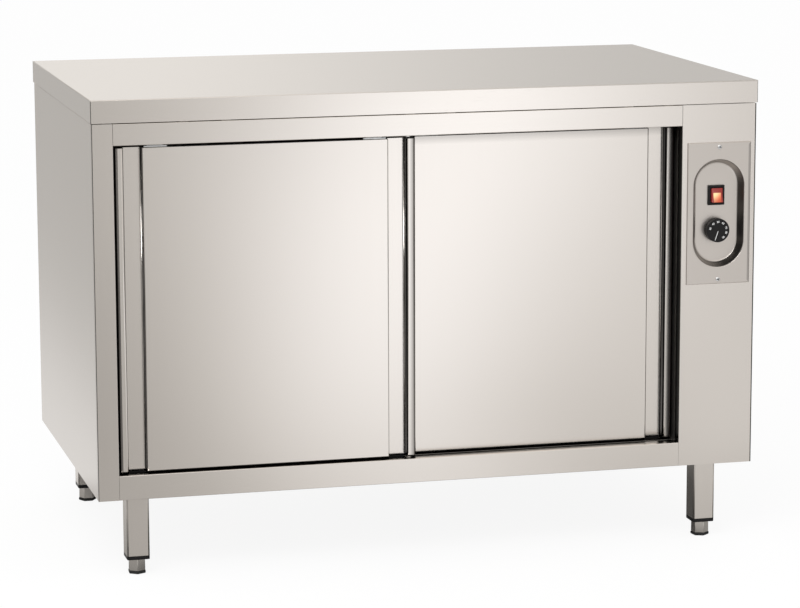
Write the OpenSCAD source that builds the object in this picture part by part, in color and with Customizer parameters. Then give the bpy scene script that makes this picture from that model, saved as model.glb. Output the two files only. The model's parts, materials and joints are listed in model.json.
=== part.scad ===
// Heated cupboard for plates: a folded steel worktop on a double-walled body, two sliding doors
// in two tracks, a control column with a dished plate at the right, and four square legs with
// screw feet. X runs to the right, Y to the back and Z up. The floor is at Z = 0.

/* [Overall size] */
// Width of the worktop
overall_w = 1200; // [1000:10:1600]
// Depth of the worktop
overall_d = 700; // [600:10:800]
// Height of the worktop above the floor, feet screwed in
overall_h = 835; // [780:5:900]

/* [Worktop] */
// Height of the worktop's folded edge
edge_h = 40; // [30:1:60]
// Width of the hem folded inward under the edge
hem_w = 14; // [8:1:25]
// Depth of the stiffening channels' flange on each side
stiffener_flange = 15; // [10:1:25]

/* [Body] */
// Thickness of the folded sheets
sheet = 1.2; // [0.8:0.1:1.5]
// How far the body's sides stand in from the worktop's edge
side_inset = 1.5; // [0.5:0.1:5]
// How far the body's front stands in from the worktop's edge
front_inset = 2.5; // [1:0.1:6]
// How far the body's back stands in from the worktop's edge
back_inset = 5; // [1:0.5:20]
// Dark gap between the worktop's edge and the body
shadow_gap = 1.5; // [1:0.1:4]
// Clear height under the body, feet screwed in
under_body = 138; // [110:1:200]
// Width of the front post at the left
post_w = 36.5; // [30:0.5:60]
// Width of the control column at the right
column_w = 139; // [120:1:220]
// Height of the rail above the doors
header_h = 37.5; // [31:0.5:60]
// Height of the rail below the doors
sill_h = 43; // [30:0.5:80]
// Thickness of the insulation at the back of the warm space
back_wall_t = 45; // [30:1:80]

/* [Doors] */
// Thickness of a door
door_t = 20; // [18:0.5:26]
// How far the front door stands behind the body's front
door_setback = 10; // [4:0.5:20]
// Clear space between the front door and the rear door
door_clear = 4.5; // [3:0.1:8]
// How far the closed doors overlap each other
door_overlap = 44; // [30:1:80]
// Gap between a closed door and the side of the opening
end_gap = 3.3; // [2:0.1:8]
// Gap above the doors
door_top_gap = 5.2; // [4:0.1:10]
// Gap below the doors
door_bottom_gap = 4.2; // [3:0.1:10]
// Width of the upright bar at each edge of a door
bar_w = 16; // [12:0.5:30]
// Width of the finger channel beside the bar
channel_w = 32; // [22:0.5:50]
// Thickness left in the door behind the finger channel
channel_back = 4.5; // [3.5:0.1:8]
// Outer radius of the doors' folded edges
fold_r = 4; // [2:0.5:6]

/* [Door running gear] */
// Radius of a door roller
roller_r = 9; // [7:0.5:11]
// Width of a door roller
roller_w = 5; // [4:0.5:6]
// Radius of the pin that a roller turns on
roller_pin_r = 3; // [2:0.25:4]
// Running clearance between roller and pin
roller_fit = 0.06; // [0.02:0.01:0.1]
// Width of the groove that a door's guide shoes run in
groove_w = 7; // [6:0.5:9]
// Depth of that groove
groove_d = 8; // [6:0.5:12]
// Thickness of a guide shoe
shoe_t = 5; // [3:0.5:6]

/* [Shelf] */
// Height of the shelf above the floor of the warm space
shelf_up = 280; // [120:10:420]
// Height of the shelf's folded edge
shelf_edge = 30; // [20:1:40]
// Space behind the shelf
shelf_back_gap = 31.5; // [5:0.5:60]
// Space between the shelf and the uprights
shelf_gap = 3; // [1:0.5:6]

/* [Control plate] */
// Width of the control plate
plate_w = 120; // [110:1:130]
// Height of the control plate
plate_h = 256; // [240:1:300]
// How far the plate stands forward of the column
plate_raise = 2.5; // [1.5:0.1:4]
// Half width of the dish at the plate's face
dish_r = 47.5; // [44:0.5:52]
// Height of the dish's straight middle
dish_straight = 99; // [80:0.5:120]
// Depth of the dish
dish_depth = 17; // [13:0.5:20]
// Width of the dish's sloping wall
dish_slope = 6.5; // [4:0.5:9]
// Height of the switch above the plate's centre
switch_up = 31; // [20:1:50]
// Distance of the knob below the plate's centre
knob_down = 31.5; // [26:0.5:45]
// Radius of the thermostat knob
knob_r = 21.5; // [18:0.5:24]
// How far the knob's face lies behind the plate's face
knob_sunk = 1; // [0:0.5:3]
// Height of the plate's screw heads
screw_head_t = 1.8; // [1:0.1:2.5]

/* [Fan and heater] */
// Radius of the fan wheel
fan_r = 80; // [60:1:100]
// Width of the fan wheel's blades
fan_w = 28; // [20:1:40]
// Radius of the ring that the heating tube is bent to
heater_ring_r = 104; // [90:1:130]
// Radius of the heating tube
heater_tube_r = 3.25; // [3:0.25:4.5]

/* [Legs] */
// Side of a square leg
leg_side = 40; // [30:1:60]
// Wall of a leg's tube
leg_wall = 1.5; // [1:0.1:3]
// How far the left legs stand in from the body's side
leg_left_inset = 50; // [30:1:90]
// How far the right legs stand in from the body's side
leg_right_inset = 65; // [30:1:90]
// How far the front legs stand in from the body's front
leg_front_inset = 12; // [5:1:60]
// How far the rear legs stand in from the body's back
leg_rear_inset = 83; // [40:1:120]
// Height of the black plug's visible edge
plug_edge = 7; // [4:0.5:12]
// Radius of a foot
foot_r = 15; // [10:0.5:18]
// Height of a foot with its pad
foot_h = 26.7; // [20:0.1:40]
// Thickness of a foot's pad
pad_t = 5; // [3:0.5:8]
// Radius of a foot's screw
screw_r = 5; // [4:0.5:8]
// Running clearance between foot screw and plug
screw_fit = 0.08; // [0.02:0.01:0.1]

/* [Hidden] */
$fn = 64;

// worktop, moved back by half of what the screw heads stand forward of its edge, so that the whole
// part is centred
front_proud = max(0, plate_raise + screw_head_t - front_inset);
top_x = overall_w / 2;
top_y0 = -overall_d / 2 + front_proud / 2;
top_y1 = overall_d / 2 + front_proud / 2;
edge_z = overall_h - edge_h;
top_under = overall_h - sheet;

// outer faces of the body
body_x = top_x - side_inset;
body_y0 = top_y0 + front_inset;
body_y1 = top_y1 - back_inset;
body_z0 = under_body;
body_z1 = edge_z - shadow_gap;

// opening of the front frame, which is also the inside of the warm space
open_x0 = -body_x + post_w;
open_x1 = body_x - column_w;
open_z0 = body_z0 + sill_h;
open_z1 = body_z1 - header_h;
open_w = open_x1 - open_x0;
open_h = open_z1 - open_z0;
seam = 0.3;

// doors
door_w = (open_w - 2 * end_gap + door_overlap) / 2;
door_h = open_h - door_top_gap - door_bottom_gap;
door_z = open_z0 + door_bottom_gap;
left_door_x = open_x0 + end_gap;
right_door_x = open_x1 - end_gap - door_w;
front_door_y = body_y0 + door_setback;
rear_door_y = front_door_y + door_t + door_clear;
channel_d = door_t - channel_back;
main_x = bar_w + channel_w;
hollow_y1 = channel_d + sheet;

// running gear, measured back from a door's front face
hanger_t = 2;
hanger_y = 9;
roller_y = hanger_y + hanger_t + 1;
pin_end_y = roller_y + roller_w + 0.5;
rail_y0 = roller_y - 0.2;
rail_y1 = roller_y + roller_w + 2.2;
rail_web_y = pin_end_y + 1.8;
rail_top = open_z1 + 6.7;
roller_z = rail_top + 0.3 + roller_r;
roller_in = main_x + 24;
track_y0 = front_door_y - 1.5;
track_y1 = rear_door_y + rail_web_y + 6;
top_flange_z = body_z1 - sheet;
track_top = top_flange_z - sheet;
groove_y = door_t - 3.5;
guide_y0 = body_y0 + 7;
guide_y1 = track_y1 + 0.2;

// warm space
back_y = body_y1 - back_wall_t;
front_return = 22.5;
wall_y0 = body_y0 + front_return + 0.3;
liner_y0 = guide_y1;

// shelf and its supports
upright_t = 3;
upright_w = 25;
upright_z0 = open_z0 + 20;
upright_z1 = open_z1 - 20;
upright_front_y = liner_y0 + 90;
upright_rear_y = back_y - 90;
slot_pitch = 40;
slot_w = 12;
slot_h = 6;
shelf_z = open_z0 + shelf_up;
clip_z = shelf_z - shelf_edge;
shelf_y0 = liner_y0 + 16;
shelf_y1 = back_y - shelf_back_gap;

// control plate
column_x = (open_x1 + body_x) / 2;
plate_x = column_x;
plate_z = open_z1 - 158.5;
plate_y = body_y0 - plate_raise;
dish_y = plate_y + dish_depth;
plate_screw_up = plate_h / 2 - 8.5;
switch_z = plate_z + switch_up;
knob_z = plate_z - knob_down;
knob_y0 = plate_y + knob_sunk;
knob_y1 = dish_y - 1.2;
bezel_w = 31;
bezel_h = 36;
bezel_t = 4;
switch_w = 26.6;
switch_h = 32.6;
window_w = 24;
window_h = 30;
rocker_tilt = 10;
pivot_y = dish_y + 2;
pivot_r = 1.2;
spindle_r = 3;

// fan side
duct_x1 = open_x1 + 62;
duct_y0 = liner_y0 + 150;
duct_y1 = back_y - 100;
duct_z0 = open_z0 + 50;
duct_z1 = open_z1 - 50;
fan_y = (duct_y0 + duct_y1) / 2;
fan_z = (duct_z0 + duct_z1) / 2;
fan_x0 = open_x1 + 16;
motor_x0 = duct_x1 + 0.2;
motor_len = 62;
motor_r = 38;
shaft_r = 4;
outlet_up = (duct_z1 - duct_z0) / 2 - 66;
feeler_z = open_z1 - 45;
heater_leg_y = 15;
heater_leg_z = fan_z + sqrt(pow(heater_ring_r, 2) - pow(heater_leg_y, 2));

// legs and feet
leg_x0 = -body_x + leg_left_inset;
leg_x1 = body_x - leg_right_inset - leg_side;
leg_y0 = body_y0 + leg_front_inset;
leg_y1 = body_y1 - leg_rear_inset - leg_side;
plug_z0 = foot_h + 0.3;
leg_z0 = plug_z0 + plug_edge;
bolt_r = 4;
pad_plate_t = 4;
steel = [0.80, 0.78, 0.76];
plain_steel = [0.70, 0.69, 0.67];
zinc = [0.72, 0.73, 0.74];
wool = [0.86, 0.80, 0.55];
black = [0.06, 0.06, 0.07];

// a block given by its two ends along each axis
module slab(x, y, z) {
    translate([x[0], y[0], z[0]])
        cube([x[1] - x[0], y[1] - y[0], z[1] - z[0]]);
}

// a round bar lying along Y, from y0 to y1
module rod_y(x, y0, y1, z, r) {
    translate([x, y0, z])
        rotate([-90, 0, 0])
            cylinder(h = y1 - y0, r = r);
}

// a round bar lying along X, from x0 to x1
module rod_x(x0, x1, y, z, r) {
    translate([x0, y, z])
        rotate([0, 90, 0])
            cylinder(h = x1 - x0, r = r);
}

// ---- worktop ----

module worktop() {
    color(steel) {
        difference() {
            slab([-top_x, top_x], [top_y0, top_y1], [edge_z, overall_h]);
            slab([-top_x + sheet, top_x - sheet],
                 [top_y0 + sheet, top_y1 - sheet],
                 [edge_z + sheet, top_under]);
            slab([-top_x + hem_w, top_x - hem_w],
                 [top_y0 + hem_w, top_y1 - hem_w],
                 [edge_z - 1, edge_z + 2 * sheet]);
        }
    }
}

module stiffener_channel() {
    half = 30;
    y = [top_y0 + hem_w + 1, top_y1 - hem_w - 1];
    slab([-half, half], y, [top_under - sheet, top_under]);
    slab([-half, -half + sheet], y, [body_z1, top_under]);
    slab([half - sheet, half], y, [body_z1, top_under]);
    slab([-half - stiffener_flange, -half + sheet], y, [body_z1, body_z1 + sheet]);
    slab([half - sheet, half + stiffener_flange], y, [body_z1, body_z1 + sheet]);
}

module worktop_stiffeners() {
    color(plain_steel)
        for (x = [-1, 0, 1])
            translate([x * overall_w / 3, 0, 0])
                stiffener_channel();
}

// ---- outer body ----

// side panel for the left, folded inward at the front, back, top and bottom
module side_panel_sheet() {
    y0 = body_y0 + sheet + seam;
    y1 = body_y1;
    fold = 20;
    slab([-body_x, -body_x + sheet], [y0, y1], [body_z0, body_z1]);
    slab([-body_x, -body_x + fold], [y0, y0 + sheet], [body_z0 + 2 * sheet, top_flange_z]);
    slab([-body_x, -body_x + fold], [y0, y1], [body_z1 - sheet, body_z1]);
    slab([-body_x, -body_x + fold], [y0, y1 - sheet], [body_z0 + sheet, body_z0 + 2 * sheet]);
    slab([-body_x, -body_x + fold], [y1 - 2 * sheet, y1 - sheet], [body_z0 + sheet, body_z1]);
}

module left_side_panel() {
    color(steel)
        side_panel_sheet();
}

module right_side_panel() {
    color(steel)
        difference() {
            mirror([1, 0, 0])
                side_panel_sheet();
            for (i = [0:7])
                slab([body_x - 5, body_x + 5],
                     [fan_y - 70, fan_y + 70],
                     [body_z0 + 60 + 14 * i, body_z0 + 66 + 14 * i]);
        }
}

module back_panel() {
    x = body_x - sheet;
    color(steel)
        difference() {
            union() {
                slab([-x, x], [body_y1 - sheet, body_y1], [body_z0 + sheet, top_flange_z]);
                slab([-x + 22, x - 22], [body_y1 - 26, body_y1], [top_flange_z, body_z1]);
            }
            rod_y(column_x, body_y1 - 10, body_y1 + 10, body_z0 + 70, 8.2);
            for (i = [0:7])
                slab([column_x - 40, column_x + 40],
                     [body_y1 - 5, body_y1 + 5],
                     [body_z1 - 180 + 14 * i, body_z1 - 174 + 14 * i]);
        }
}

module base_panel() {
    x = body_x - sheet;
    color(steel)
        difference() {
            slab([-x, x], [body_y0 + sheet, body_y1 - sheet], [body_z0, body_z0 + sheet]);
            at_legs()
                translate([leg_side / 2, leg_side / 2, body_z0 - 5])
                    cylinder(h = 10, r = bolt_r + 0.4);
        }
}

module left_front_post() {
    color(steel) {
        slab([-body_x, open_x0], [body_y0, body_y0 + sheet], [body_z0, body_z1]);
        slab([open_x0 - sheet, open_x0],
             [body_y0, body_y0 + front_return],
             [body_z0 + 3 * sheet, body_z1 - 2 * sheet]);
    }
}

module header_rail() {
    x = [open_x0 + seam, open_x1 - seam];
    color(steel) {
        slab(x, [body_y0, body_y0 + sheet], [open_z1, body_z1]);
        slab(x, [body_y0, body_y0 + 8], [open_z1, open_z1 + sheet]);
        slab(x, [body_y0, body_y0 + 26], [body_z1 - sheet, body_z1]);
    }
}

module sill_rail() {
    x = [open_x0 + seam, open_x1 - seam];
    color(steel) {
        slab(x, [body_y0, body_y0 + sheet], [body_z0, open_z0]);
        slab(x, [body_y0, guide_y0], [open_z0 - sheet, open_z0]);
        slab(x, [body_y0, body_y0 + 20], [body_z0 + sheet, body_z0 + 2 * sheet]);
    }
}

module control_column_panel() {
    w = plate_w - 16;
    h = dish_straight + 2 * dish_r + 6;
    color(steel)
        difference() {
            union() {
                slab([open_x1, body_x], [body_y0, body_y0 + sheet], [body_z0, body_z1]);
                slab([open_x1, open_x1 + sheet],
                     [body_y0, body_y0 + front_return],
                     [body_z0 + 3 * sheet, body_z1 - 2 * sheet]);
            }
            slab([plate_x - w / 2, plate_x + w / 2],
                 [body_y0 - 5, body_y0 + 5],
                 [plate_z - h / 2, plate_z + h / 2]);
            for (s = [-1, 1])
                rod_y(plate_x, body_y0 - 5, body_y0 + 5, plate_z + s * plate_screw_up, 1.8);
        }
}

// ---- warm space ----

module liner_floor() {
    color(steel)
        slab([open_x0, open_x1], [liner_y0, back_y], [open_z0 - sheet, open_z0]);
}

module liner_left_wall() {
    color(steel)
        slab([open_x0 - sheet, open_x0], [wall_y0, back_y + sheet], [open_z0 - 10, track_top]);
}

module liner_right_wall() {
    color(steel)
        difference() {
            slab([open_x1, open_x1 + sheet], [wall_y0, back_y + sheet], [open_z0 - 10, track_top]);
            // round grille in front of the fan wheel, of one centre hole and three rings of holes
            rod_x(open_x1 - 5, open_x1 + 5, fan_y, fan_z, 5);
            for (ring = [1:3])
                for (i = [0:ring * 6 - 1])
                    translate([0, 18 * ring * cos(i * 60 / ring), 18 * ring * sin(i * 60 / ring)])
                        rod_x(open_x1 - 5, open_x1 + 5, fan_y, fan_z, 5);
            // outlet slots above and below the grille
            for (s = [-1, 1])
                for (i = [0:3])
                    translate([0, 0, fan_z + s * (outlet_up - 14 * i)])
                        slab([open_x1 - 5, open_x1 + 5], [fan_y - 90, fan_y + 90], [-3, 3]);
            // passage of the thermostat's feeler
            rod_x(open_x1 - 5, open_x1 + 5, liner_y0 + 40, feeler_z, 2);
        }
}

module liner_back() {
    color(steel)
        slab([open_x0, open_x1], [back_y, back_y + sheet], [open_z0 - sheet, open_z1 + sheet]);
}

module liner_ceiling() {
    color(steel) {
        slab([open_x0, open_x1], [liner_y0, back_y], [open_z1, open_z1 + sheet]);
        slab([open_x0, open_x1], [liner_y0, liner_y0 + sheet], [open_z1, track_top]);
    }
}

module insulation_blankets() {
    x = [open_x0, open_x1];
    color(wool) {
        // floor
        slab(x, [liner_y0, back_y - 1], [body_z0 + 13, open_z0 - sheet - 0.3]);
        // left side
        slab([-body_x + sheet + 0.3, open_x0 - sheet - 0.3],
             [body_y0 + 26, body_y1 - 4],
             [body_z0 + 13, body_z1 - 3]);
        // back
        slab(x, [back_y + sheet + 0.3, body_y1 - sheet - 0.3], [body_z0 + 13, body_z1 - 3]);
        // ceiling
        slab(x, [liner_y0 + sheet + 0.3, back_y + sheet], [open_z1 + sheet + 0.3, body_z1 - 3]);
    }
}

module shelf() {
    x0 = open_x0 + upright_t + shelf_gap;
    x1 = open_x1 - upright_t - shelf_gap;
    y0 = shelf_y0;
    y1 = shelf_y1;
    lip = 12;
    color(steel)
        difference() {
            slab([x0, x1], [y0, y1], [clip_z, shelf_z]);
            slab([x0 + sheet, x1 - sheet], [y0 + sheet, y1 - sheet], [clip_z + sheet, shelf_z - sheet]);
            slab([x0 + lip, x1 - lip], [y0 + lip, y1 - lip], [clip_z - 1, clip_z + 2 * sheet]);
        }
}

// slotted strip for the left wall, at the given distance back
module upright_strip(y) {
    difference() {
        slab([open_x0, open_x0 + upright_t],
             [y - upright_w / 2, y + upright_w / 2],
             [upright_z0, upright_z1]);
        for (z = [clip_z - 5 * slot_pitch : slot_pitch : upright_z1 - 20])
            if (z > upright_z0 + 10)
                slab([open_x0 - 1, open_x0 + upright_t + 1],
                     [y - slot_w / 2, y + slot_w / 2],
                     [z - slot_h, z]);
    }
}

// clip hooked in a slot of the strip
module shelf_clip(y) {
    x = open_x0 + upright_t;
    slab([x - 2.5, x + 0.5],
         [y - slot_w / 2 + 1, y + slot_w / 2 - 1],
         [clip_z - slot_h + 0.5, clip_z - 0.3]);
    slab([x, x + 20], [y - 11, y + 11], [clip_z - 2.3, clip_z - 0.3]);
    slab([x, x + 2], [y - 11, y + 11], [clip_z - 14, clip_z - 0.3]);
}

// copies from the left wall to the right wall of the warm space
module on_both_walls() {
    children();
    translate([open_x0 + open_x1, 0, 0])
        mirror([1, 0, 0])
            children();
}

module shelf_uprights() {
    color(plain_steel)
        on_both_walls() {
            upright_strip(upright_front_y);
            upright_strip(upright_rear_y);
        }
}

module shelf_clips() {
    color(zinc)
        on_both_walls() {
            shelf_clip(upright_front_y);
            shelf_clip(upright_rear_y);
        }
}

// ---- fan and heater, in the compartment behind the control column ----

module air_duct_housing() {
    x0 = open_x1 + sheet;
    color(plain_steel)
        difference() {
            union() {
                slab([x0, duct_x1], [duct_y0, duct_y1], [duct_z0, duct_z1]);
                slab([x0, x0 + sheet], [duct_y0 - 15, duct_y1 + 15], [duct_z0, duct_z1]);
            }
            slab([x0 - 1, duct_x1 - sheet],
                 [duct_y0 + sheet, duct_y1 - sheet],
                 [duct_z0 + sheet, duct_z1 - sheet]);
            rod_x(duct_x1 - 10, duct_x1 + 10, fan_y, fan_z, shaft_r + 4);
            for (s = [-1, 1])
                rod_x(duct_x1 - 10, duct_x1 + 10, fan_y + s * heater_leg_y, heater_leg_z,
                      heater_tube_r + 0.35);
        }
}

module fan_wheel() {
    blades = 24;
    disc_x = fan_x0 + fan_w;
    color(zinc) {
        // back disc, hub and shaft
        rod_x(disc_x, disc_x + 1.5, fan_y, fan_z, fan_r);
        rod_x(disc_x - 14, disc_x + 1.5, fan_y, fan_z, 12);
        rod_x(disc_x - 14, motor_x0 + 22, fan_y, fan_z, shaft_r);
        // front ring
        translate([fan_x0, fan_y, fan_z])
            rotate([0, 90, 0])
                difference() {
                    cylinder(h = 1.5, r = fan_r);
                    translate([0, 0, -1])
                        cylinder(h = 4, r = fan_r - 18);
                }
        // blades
        for (i = [0 : blades - 1])
            translate([fan_x0, fan_y, fan_z])
                rotate([i * 360 / blades, 0, 0])
                    translate([0, fan_r - 17, -0.6])
                        cube([fan_w + 1, 16, 1.2]);
    }
}

module fan_motor() {
    color([0.35, 0.36, 0.38])
        difference() {
            union() {
                rod_x(motor_x0, motor_x0 + 3, fan_y, fan_z, motor_r + 8);
                rod_x(motor_x0, motor_x0 + motor_len, fan_y, fan_z, motor_r);
            }
            rod_x(motor_x0 - 1, motor_x0 + 24, fan_y, fan_z, shaft_r + 0.08);
        }
}

module heating_element() {
    x = fan_x0 + fan_w / 2;
    gap_angle = asin(heater_leg_y / heater_ring_r);
    bend_x = duct_x1 + 26;
    color([0.30, 0.28, 0.27]) {
        // open ring round the fan wheel
        translate([x, fan_y, fan_z])
            rotate([0, 90, 0])
                rotate([0, 0, 180 + gap_angle])
                    rotate_extrude(angle = 360 - 2 * gap_angle)
                        translate([heater_ring_r, 0])
                            circle(heater_tube_r);
        // the two ends go out through the duct's wall
        for (s = [-1, 1])
            rod_x(x - heater_tube_r, bend_x, fan_y + s * heater_leg_y, heater_leg_z, heater_tube_r);
    }
}

module thermostat() {
    body_y = dish_y + sheet;
    feeler_y = liner_y0 + 40;
    feeler_x = open_x1 - 10;
    color([0.75, 0.74, 0.70])
        difference() {
            union() {
                slab([plate_x - 17, plate_x + 17], [body_y, body_y + 28], [knob_z - 20, knob_z + 20]);
                // feeler tube, back, up and then left through the wall
                rod_y(plate_x, body_y + 27, feeler_y, knob_z, 1.2);
                translate([plate_x, feeler_y, knob_z])
                    sphere(r = 1.2);
                translate([plate_x, feeler_y, knob_z])
                    cylinder(h = feeler_z - knob_z, r = 1.2);
                translate([plate_x, feeler_y, feeler_z])
                    sphere(r = 1.2);
                rod_x(feeler_x, plate_x, feeler_y, feeler_z, 1.2);
                translate([feeler_x, feeler_y, feeler_z])
                    sphere(r = 3.2);
                // the feeler itself, lying in the warm space
                rod_y(feeler_x, feeler_y, feeler_y + 80, feeler_z, 3.2);
            }
            rod_y(plate_x, body_y - 1, body_y + 16, knob_z, spindle_r + 0.08);
        }
}

// spindle that the knob is pushed onto
module thermostat_spindle() {
    color([0.75, 0.74, 0.70])
        rod_y(plate_x, knob_y0 + 6, dish_y + sheet + 15, knob_z, spindle_r);
}

module terminal_block() {
    color([0.92, 0.91, 0.86])
        difference() {
            slab([column_x - 35, column_x + 35],
                 [body_y1 - 70, body_y1 - 48],
                 [body_z0 + sheet, body_z0 + sheet + 20]);
            for (i = [0:4])
                translate([column_x - 26 + 13 * i, body_y1 - 59, body_z0 + sheet + 8])
                    cylinder(h = 20, r = 3.5);
        }
}

module cable_gland() {
    color(black)
        difference() {
            union() {
                rod_y(column_x, body_y1 - 16, body_y1 + 3, body_z0 + 70, 8);
                translate([column_x, body_y1 - sheet - 5, body_z0 + 70])
                    rotate([-90, 0, 0])
                        cylinder(h = 5, r = 12, $fn = 6);
                translate([column_x, body_y1, body_z0 + 70])
                    rotate([-90, 0, 0])
                        cylinder(h = 4.5, r = 11.5, $fn = 6);
            }
            rod_y(column_x, body_y1 - 20, body_y1 + 10, body_z0 + 70, 4.5);
        }
}

// ---- control plate ----

// dish with rounded ends and a sloping wall, from y0 back to y1, half widths r0 and r1
module dish_solid(y0, y1, r0, r1) {
    half = dish_straight / 2;
    for (s = [-1, 1])
        translate([plate_x, y0, plate_z + s * half])
            rotate([-90, 0, 0])
                cylinder(h = y1 - y0, r1 = r0, r2 = r1);
    translate([plate_x, 0, plate_z - half])
        linear_extrude(height = dish_straight)
            polygon([[-r0, y0], [r0, y0], [r1, y1], [-r1, y1]]);
}

module plate_blank(y0, y1, w, h, shrink) {
    hull() {
        slab([plate_x - w / 2, plate_x + w / 2], [y1 - 0.01, y1], [plate_z - h / 2, plate_z + h / 2]);
        slab([plate_x - w / 2 + shrink, plate_x + w / 2 - shrink],
             [y0, y0 + 0.01],
             [plate_z - h / 2 + shrink, plate_z + h / 2 - shrink]);
    }
}

module control_plate() {
    floor_r = dish_r - dish_slope;
    bevel = 4;
    color([0.70, 0.69, 0.68])
        difference() {
            union() {
                difference() {
                    plate_blank(plate_y, body_y0, plate_w, plate_h, bevel);
                    plate_blank(plate_y + sheet, body_y0 + 0.02,
                                plate_w - 2 * sheet, plate_h - 2 * sheet, bevel);
                }
                dish_solid(plate_y + 0.01, dish_y + sheet, dish_r + sheet, floor_r + sheet * 0.5);
            }
            dish_solid(plate_y - 0.01, dish_y, dish_r, floor_r);
            // openings for the switch, the thermostat's spindle and the screws
            translate([plate_x, dish_y, switch_z])
                slab([-switch_w / 2 - 0.2, switch_w / 2 + 0.2],
                     [-2, 5],
                     [-switch_h / 2 - 0.2, switch_h / 2 + 0.2]);
            rod_y(plate_x, dish_y - 2, dish_y + 5, knob_z, spindle_r + 0.5);
            for (s = [-1, 1])
                rod_y(plate_x, plate_y - 5, body_y0 + 5, plate_z + s * plate_screw_up, 2.2);
        }
}

module control_plate_screws() {
    color(zinc)
        for (s = [-1, 1])
            translate([0, 0, s * plate_screw_up])
                difference() {
                    union() {
                        rod_y(plate_x, plate_y - screw_head_t, plate_y, plate_z, 4);
                        rod_y(plate_x, plate_y - 0.5, body_y0 + 10, plate_z, 1.7);
                    }
                    slab([plate_x - 0.5, plate_x + 0.5],
                         [plate_y - 3, plate_y - 0.8],
                         [plate_z - 2.2, plate_z + 2.2]);
                    slab([plate_x - 2.2, plate_x + 2.2],
                         [plate_y - 3, plate_y - 0.8],
                         [plate_z - 0.5, plate_z + 0.5]);
                }
}

module switch_housing() {
    color(black)
        translate([plate_x, 0, switch_z])
            difference() {
                union() {
                    slab([-bezel_w / 2, bezel_w / 2],
                         [dish_y - bezel_t, dish_y],
                         [-bezel_h / 2, bezel_h / 2]);
                    slab([-switch_w / 2, switch_w / 2],
                         [dish_y - 1, dish_y + 24],
                         [-switch_h / 2, switch_h / 2]);
                }
                slab([-window_w / 2, window_w / 2],
                     [dish_y - bezel_t - 1, dish_y + 10],
                     [-window_h / 2, window_h / 2]);
                // bearings of the rocker
                rod_x(-switch_w / 2 - 1, switch_w / 2 + 1, pivot_y, 0, pivot_r + 0.06);
            }
}

// drawn level and then tilted about its pivot, with its top pressed in
module switch_rocker() {
    half_w = window_w / 2 - 0.5;
    half_h = window_h / 2 - 1.8;
    color([0.75, 0.10, 0.08])
        translate([plate_x, pivot_y, switch_z])
            rotate([-rocker_tilt, 0, 0]) {
                rotate([90, 0, 90])
                    translate([0, 0, -half_w])
                        linear_extrude(height = 2 * half_w)
                            polygon([
                                [3, 3 - half_h], [3, half_h - 3],
                                [-8.5, half_h], [-6.2, 0], [-8.5, -half_h]
                            ]);
                rod_x(0.3 - switch_w / 2, switch_w / 2 - 0.3, 0, 0, pivot_r);
            }
}

module thermostat_knob() {
    ribs = 36;
    color(black)
        difference() {
            union() {
                rod_y(plate_x, knob_y0 + 1, knob_y1, knob_z, knob_r);
                translate([plate_x, knob_y0, knob_z])
                    rotate([-90, 0, 0])
                        cylinder(h = 1, r1 = knob_r - 1, r2 = knob_r);
            }
            // bore for the spindle
            rod_y(plate_x, knob_y0 + 5.5, knob_y1 + 1, knob_z, spindle_r + 0.05);
            // grip flutes round the rim
            for (i = [0 : ribs - 1])
                translate([plate_x, 0, knob_z])
                    rotate([0, i * 360 / ribs, 0])
                        slab([knob_r - 0.5, knob_r + 1], [knob_y0 + 3, knob_y1 - 3], [-0.7, 0.7]);
        }
}

// ---- doors ----

// front of a folded hollow: a block with rounded front corners, from y = inset to y1
module rounded_front(x0, x1, inset, y1, r) {
    translate([x0, inset + r])
        square([x1 - x0, y1 - inset - r]);
    translate([x0 + r, inset])
        square([x1 - x0 - 2 * r, y1 - inset]);
    translate([x0 + r, inset + r])
        circle(r);
    translate([x1 - r, inset + r])
        circle(r);
}

// section of a door's bar, with its outer wall going on to the back of the door
module bar_section() {
    rounded_front(0, bar_w, 0, hollow_y1, fold_r);
    translate([0, fold_r])
        square([sheet, door_t - fold_r]);
    translate([bar_w - sheet, channel_d])
        square([channel_w + 2 * sheet, sheet]);
}

module bar_hollow() {
    rounded_front(sheet, bar_w - sheet, sheet, door_t + 1, fold_r - sheet);
}

module door_outer_skin() {
    difference() {
        union() {
            linear_extrude(height = door_h)
                difference() {
                    union() {
                        bar_section();
                        translate([door_w, 0])
                            mirror([1, 0])
                                bar_section();
                        rounded_front(main_x, door_w - main_x, 0, hollow_y1, fold_r);
                    }
                    bar_hollow();
                    translate([door_w, 0])
                        mirror([1, 0])
                            bar_hollow();
                    rounded_front(main_x + sheet, door_w - main_x - sheet,
                                  sheet, door_t + 1, fold_r - sheet);
                }
            // folds along the top and the bottom of the middle panel
            for (z = [0, door_h - sheet]) {
                slab([main_x + fold_r, door_w - main_x - fold_r],
                     [sheet / 2, hollow_y1],
                     [z, z + sheet]);
                slab([main_x + sheet / 2, door_w - main_x - sheet / 2],
                     [fold_r, hollow_y1],
                     [z, z + sheet]);
            }
        }
    }
}

module door_inner_skin() {
    x0 = sheet + 0.1;
    x1 = door_w - sheet - 0.1;
    slab([x0, x1], [door_t - sheet, door_t], [0, door_h]);
    slab([x0, x0 + sheet], [hollow_y1 - 8, door_t], [0, door_h]);
    slab([x1 - sheet, x1], [hollow_y1 - 8, door_t], [0, door_h]);
    for (z = [sheet + 0.1, door_h - 2 * sheet - 0.1])
        slab([main_x + 8, door_w - main_x - 8], [6, door_t], [z, z + sheet]);
}

module door_insulation() {
    slab([main_x + sheet + 0.3, door_w - main_x - sheet - 0.3],
         [sheet + 3, door_t - sheet - 0.2],
         [8, door_h - 8]);
}

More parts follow.
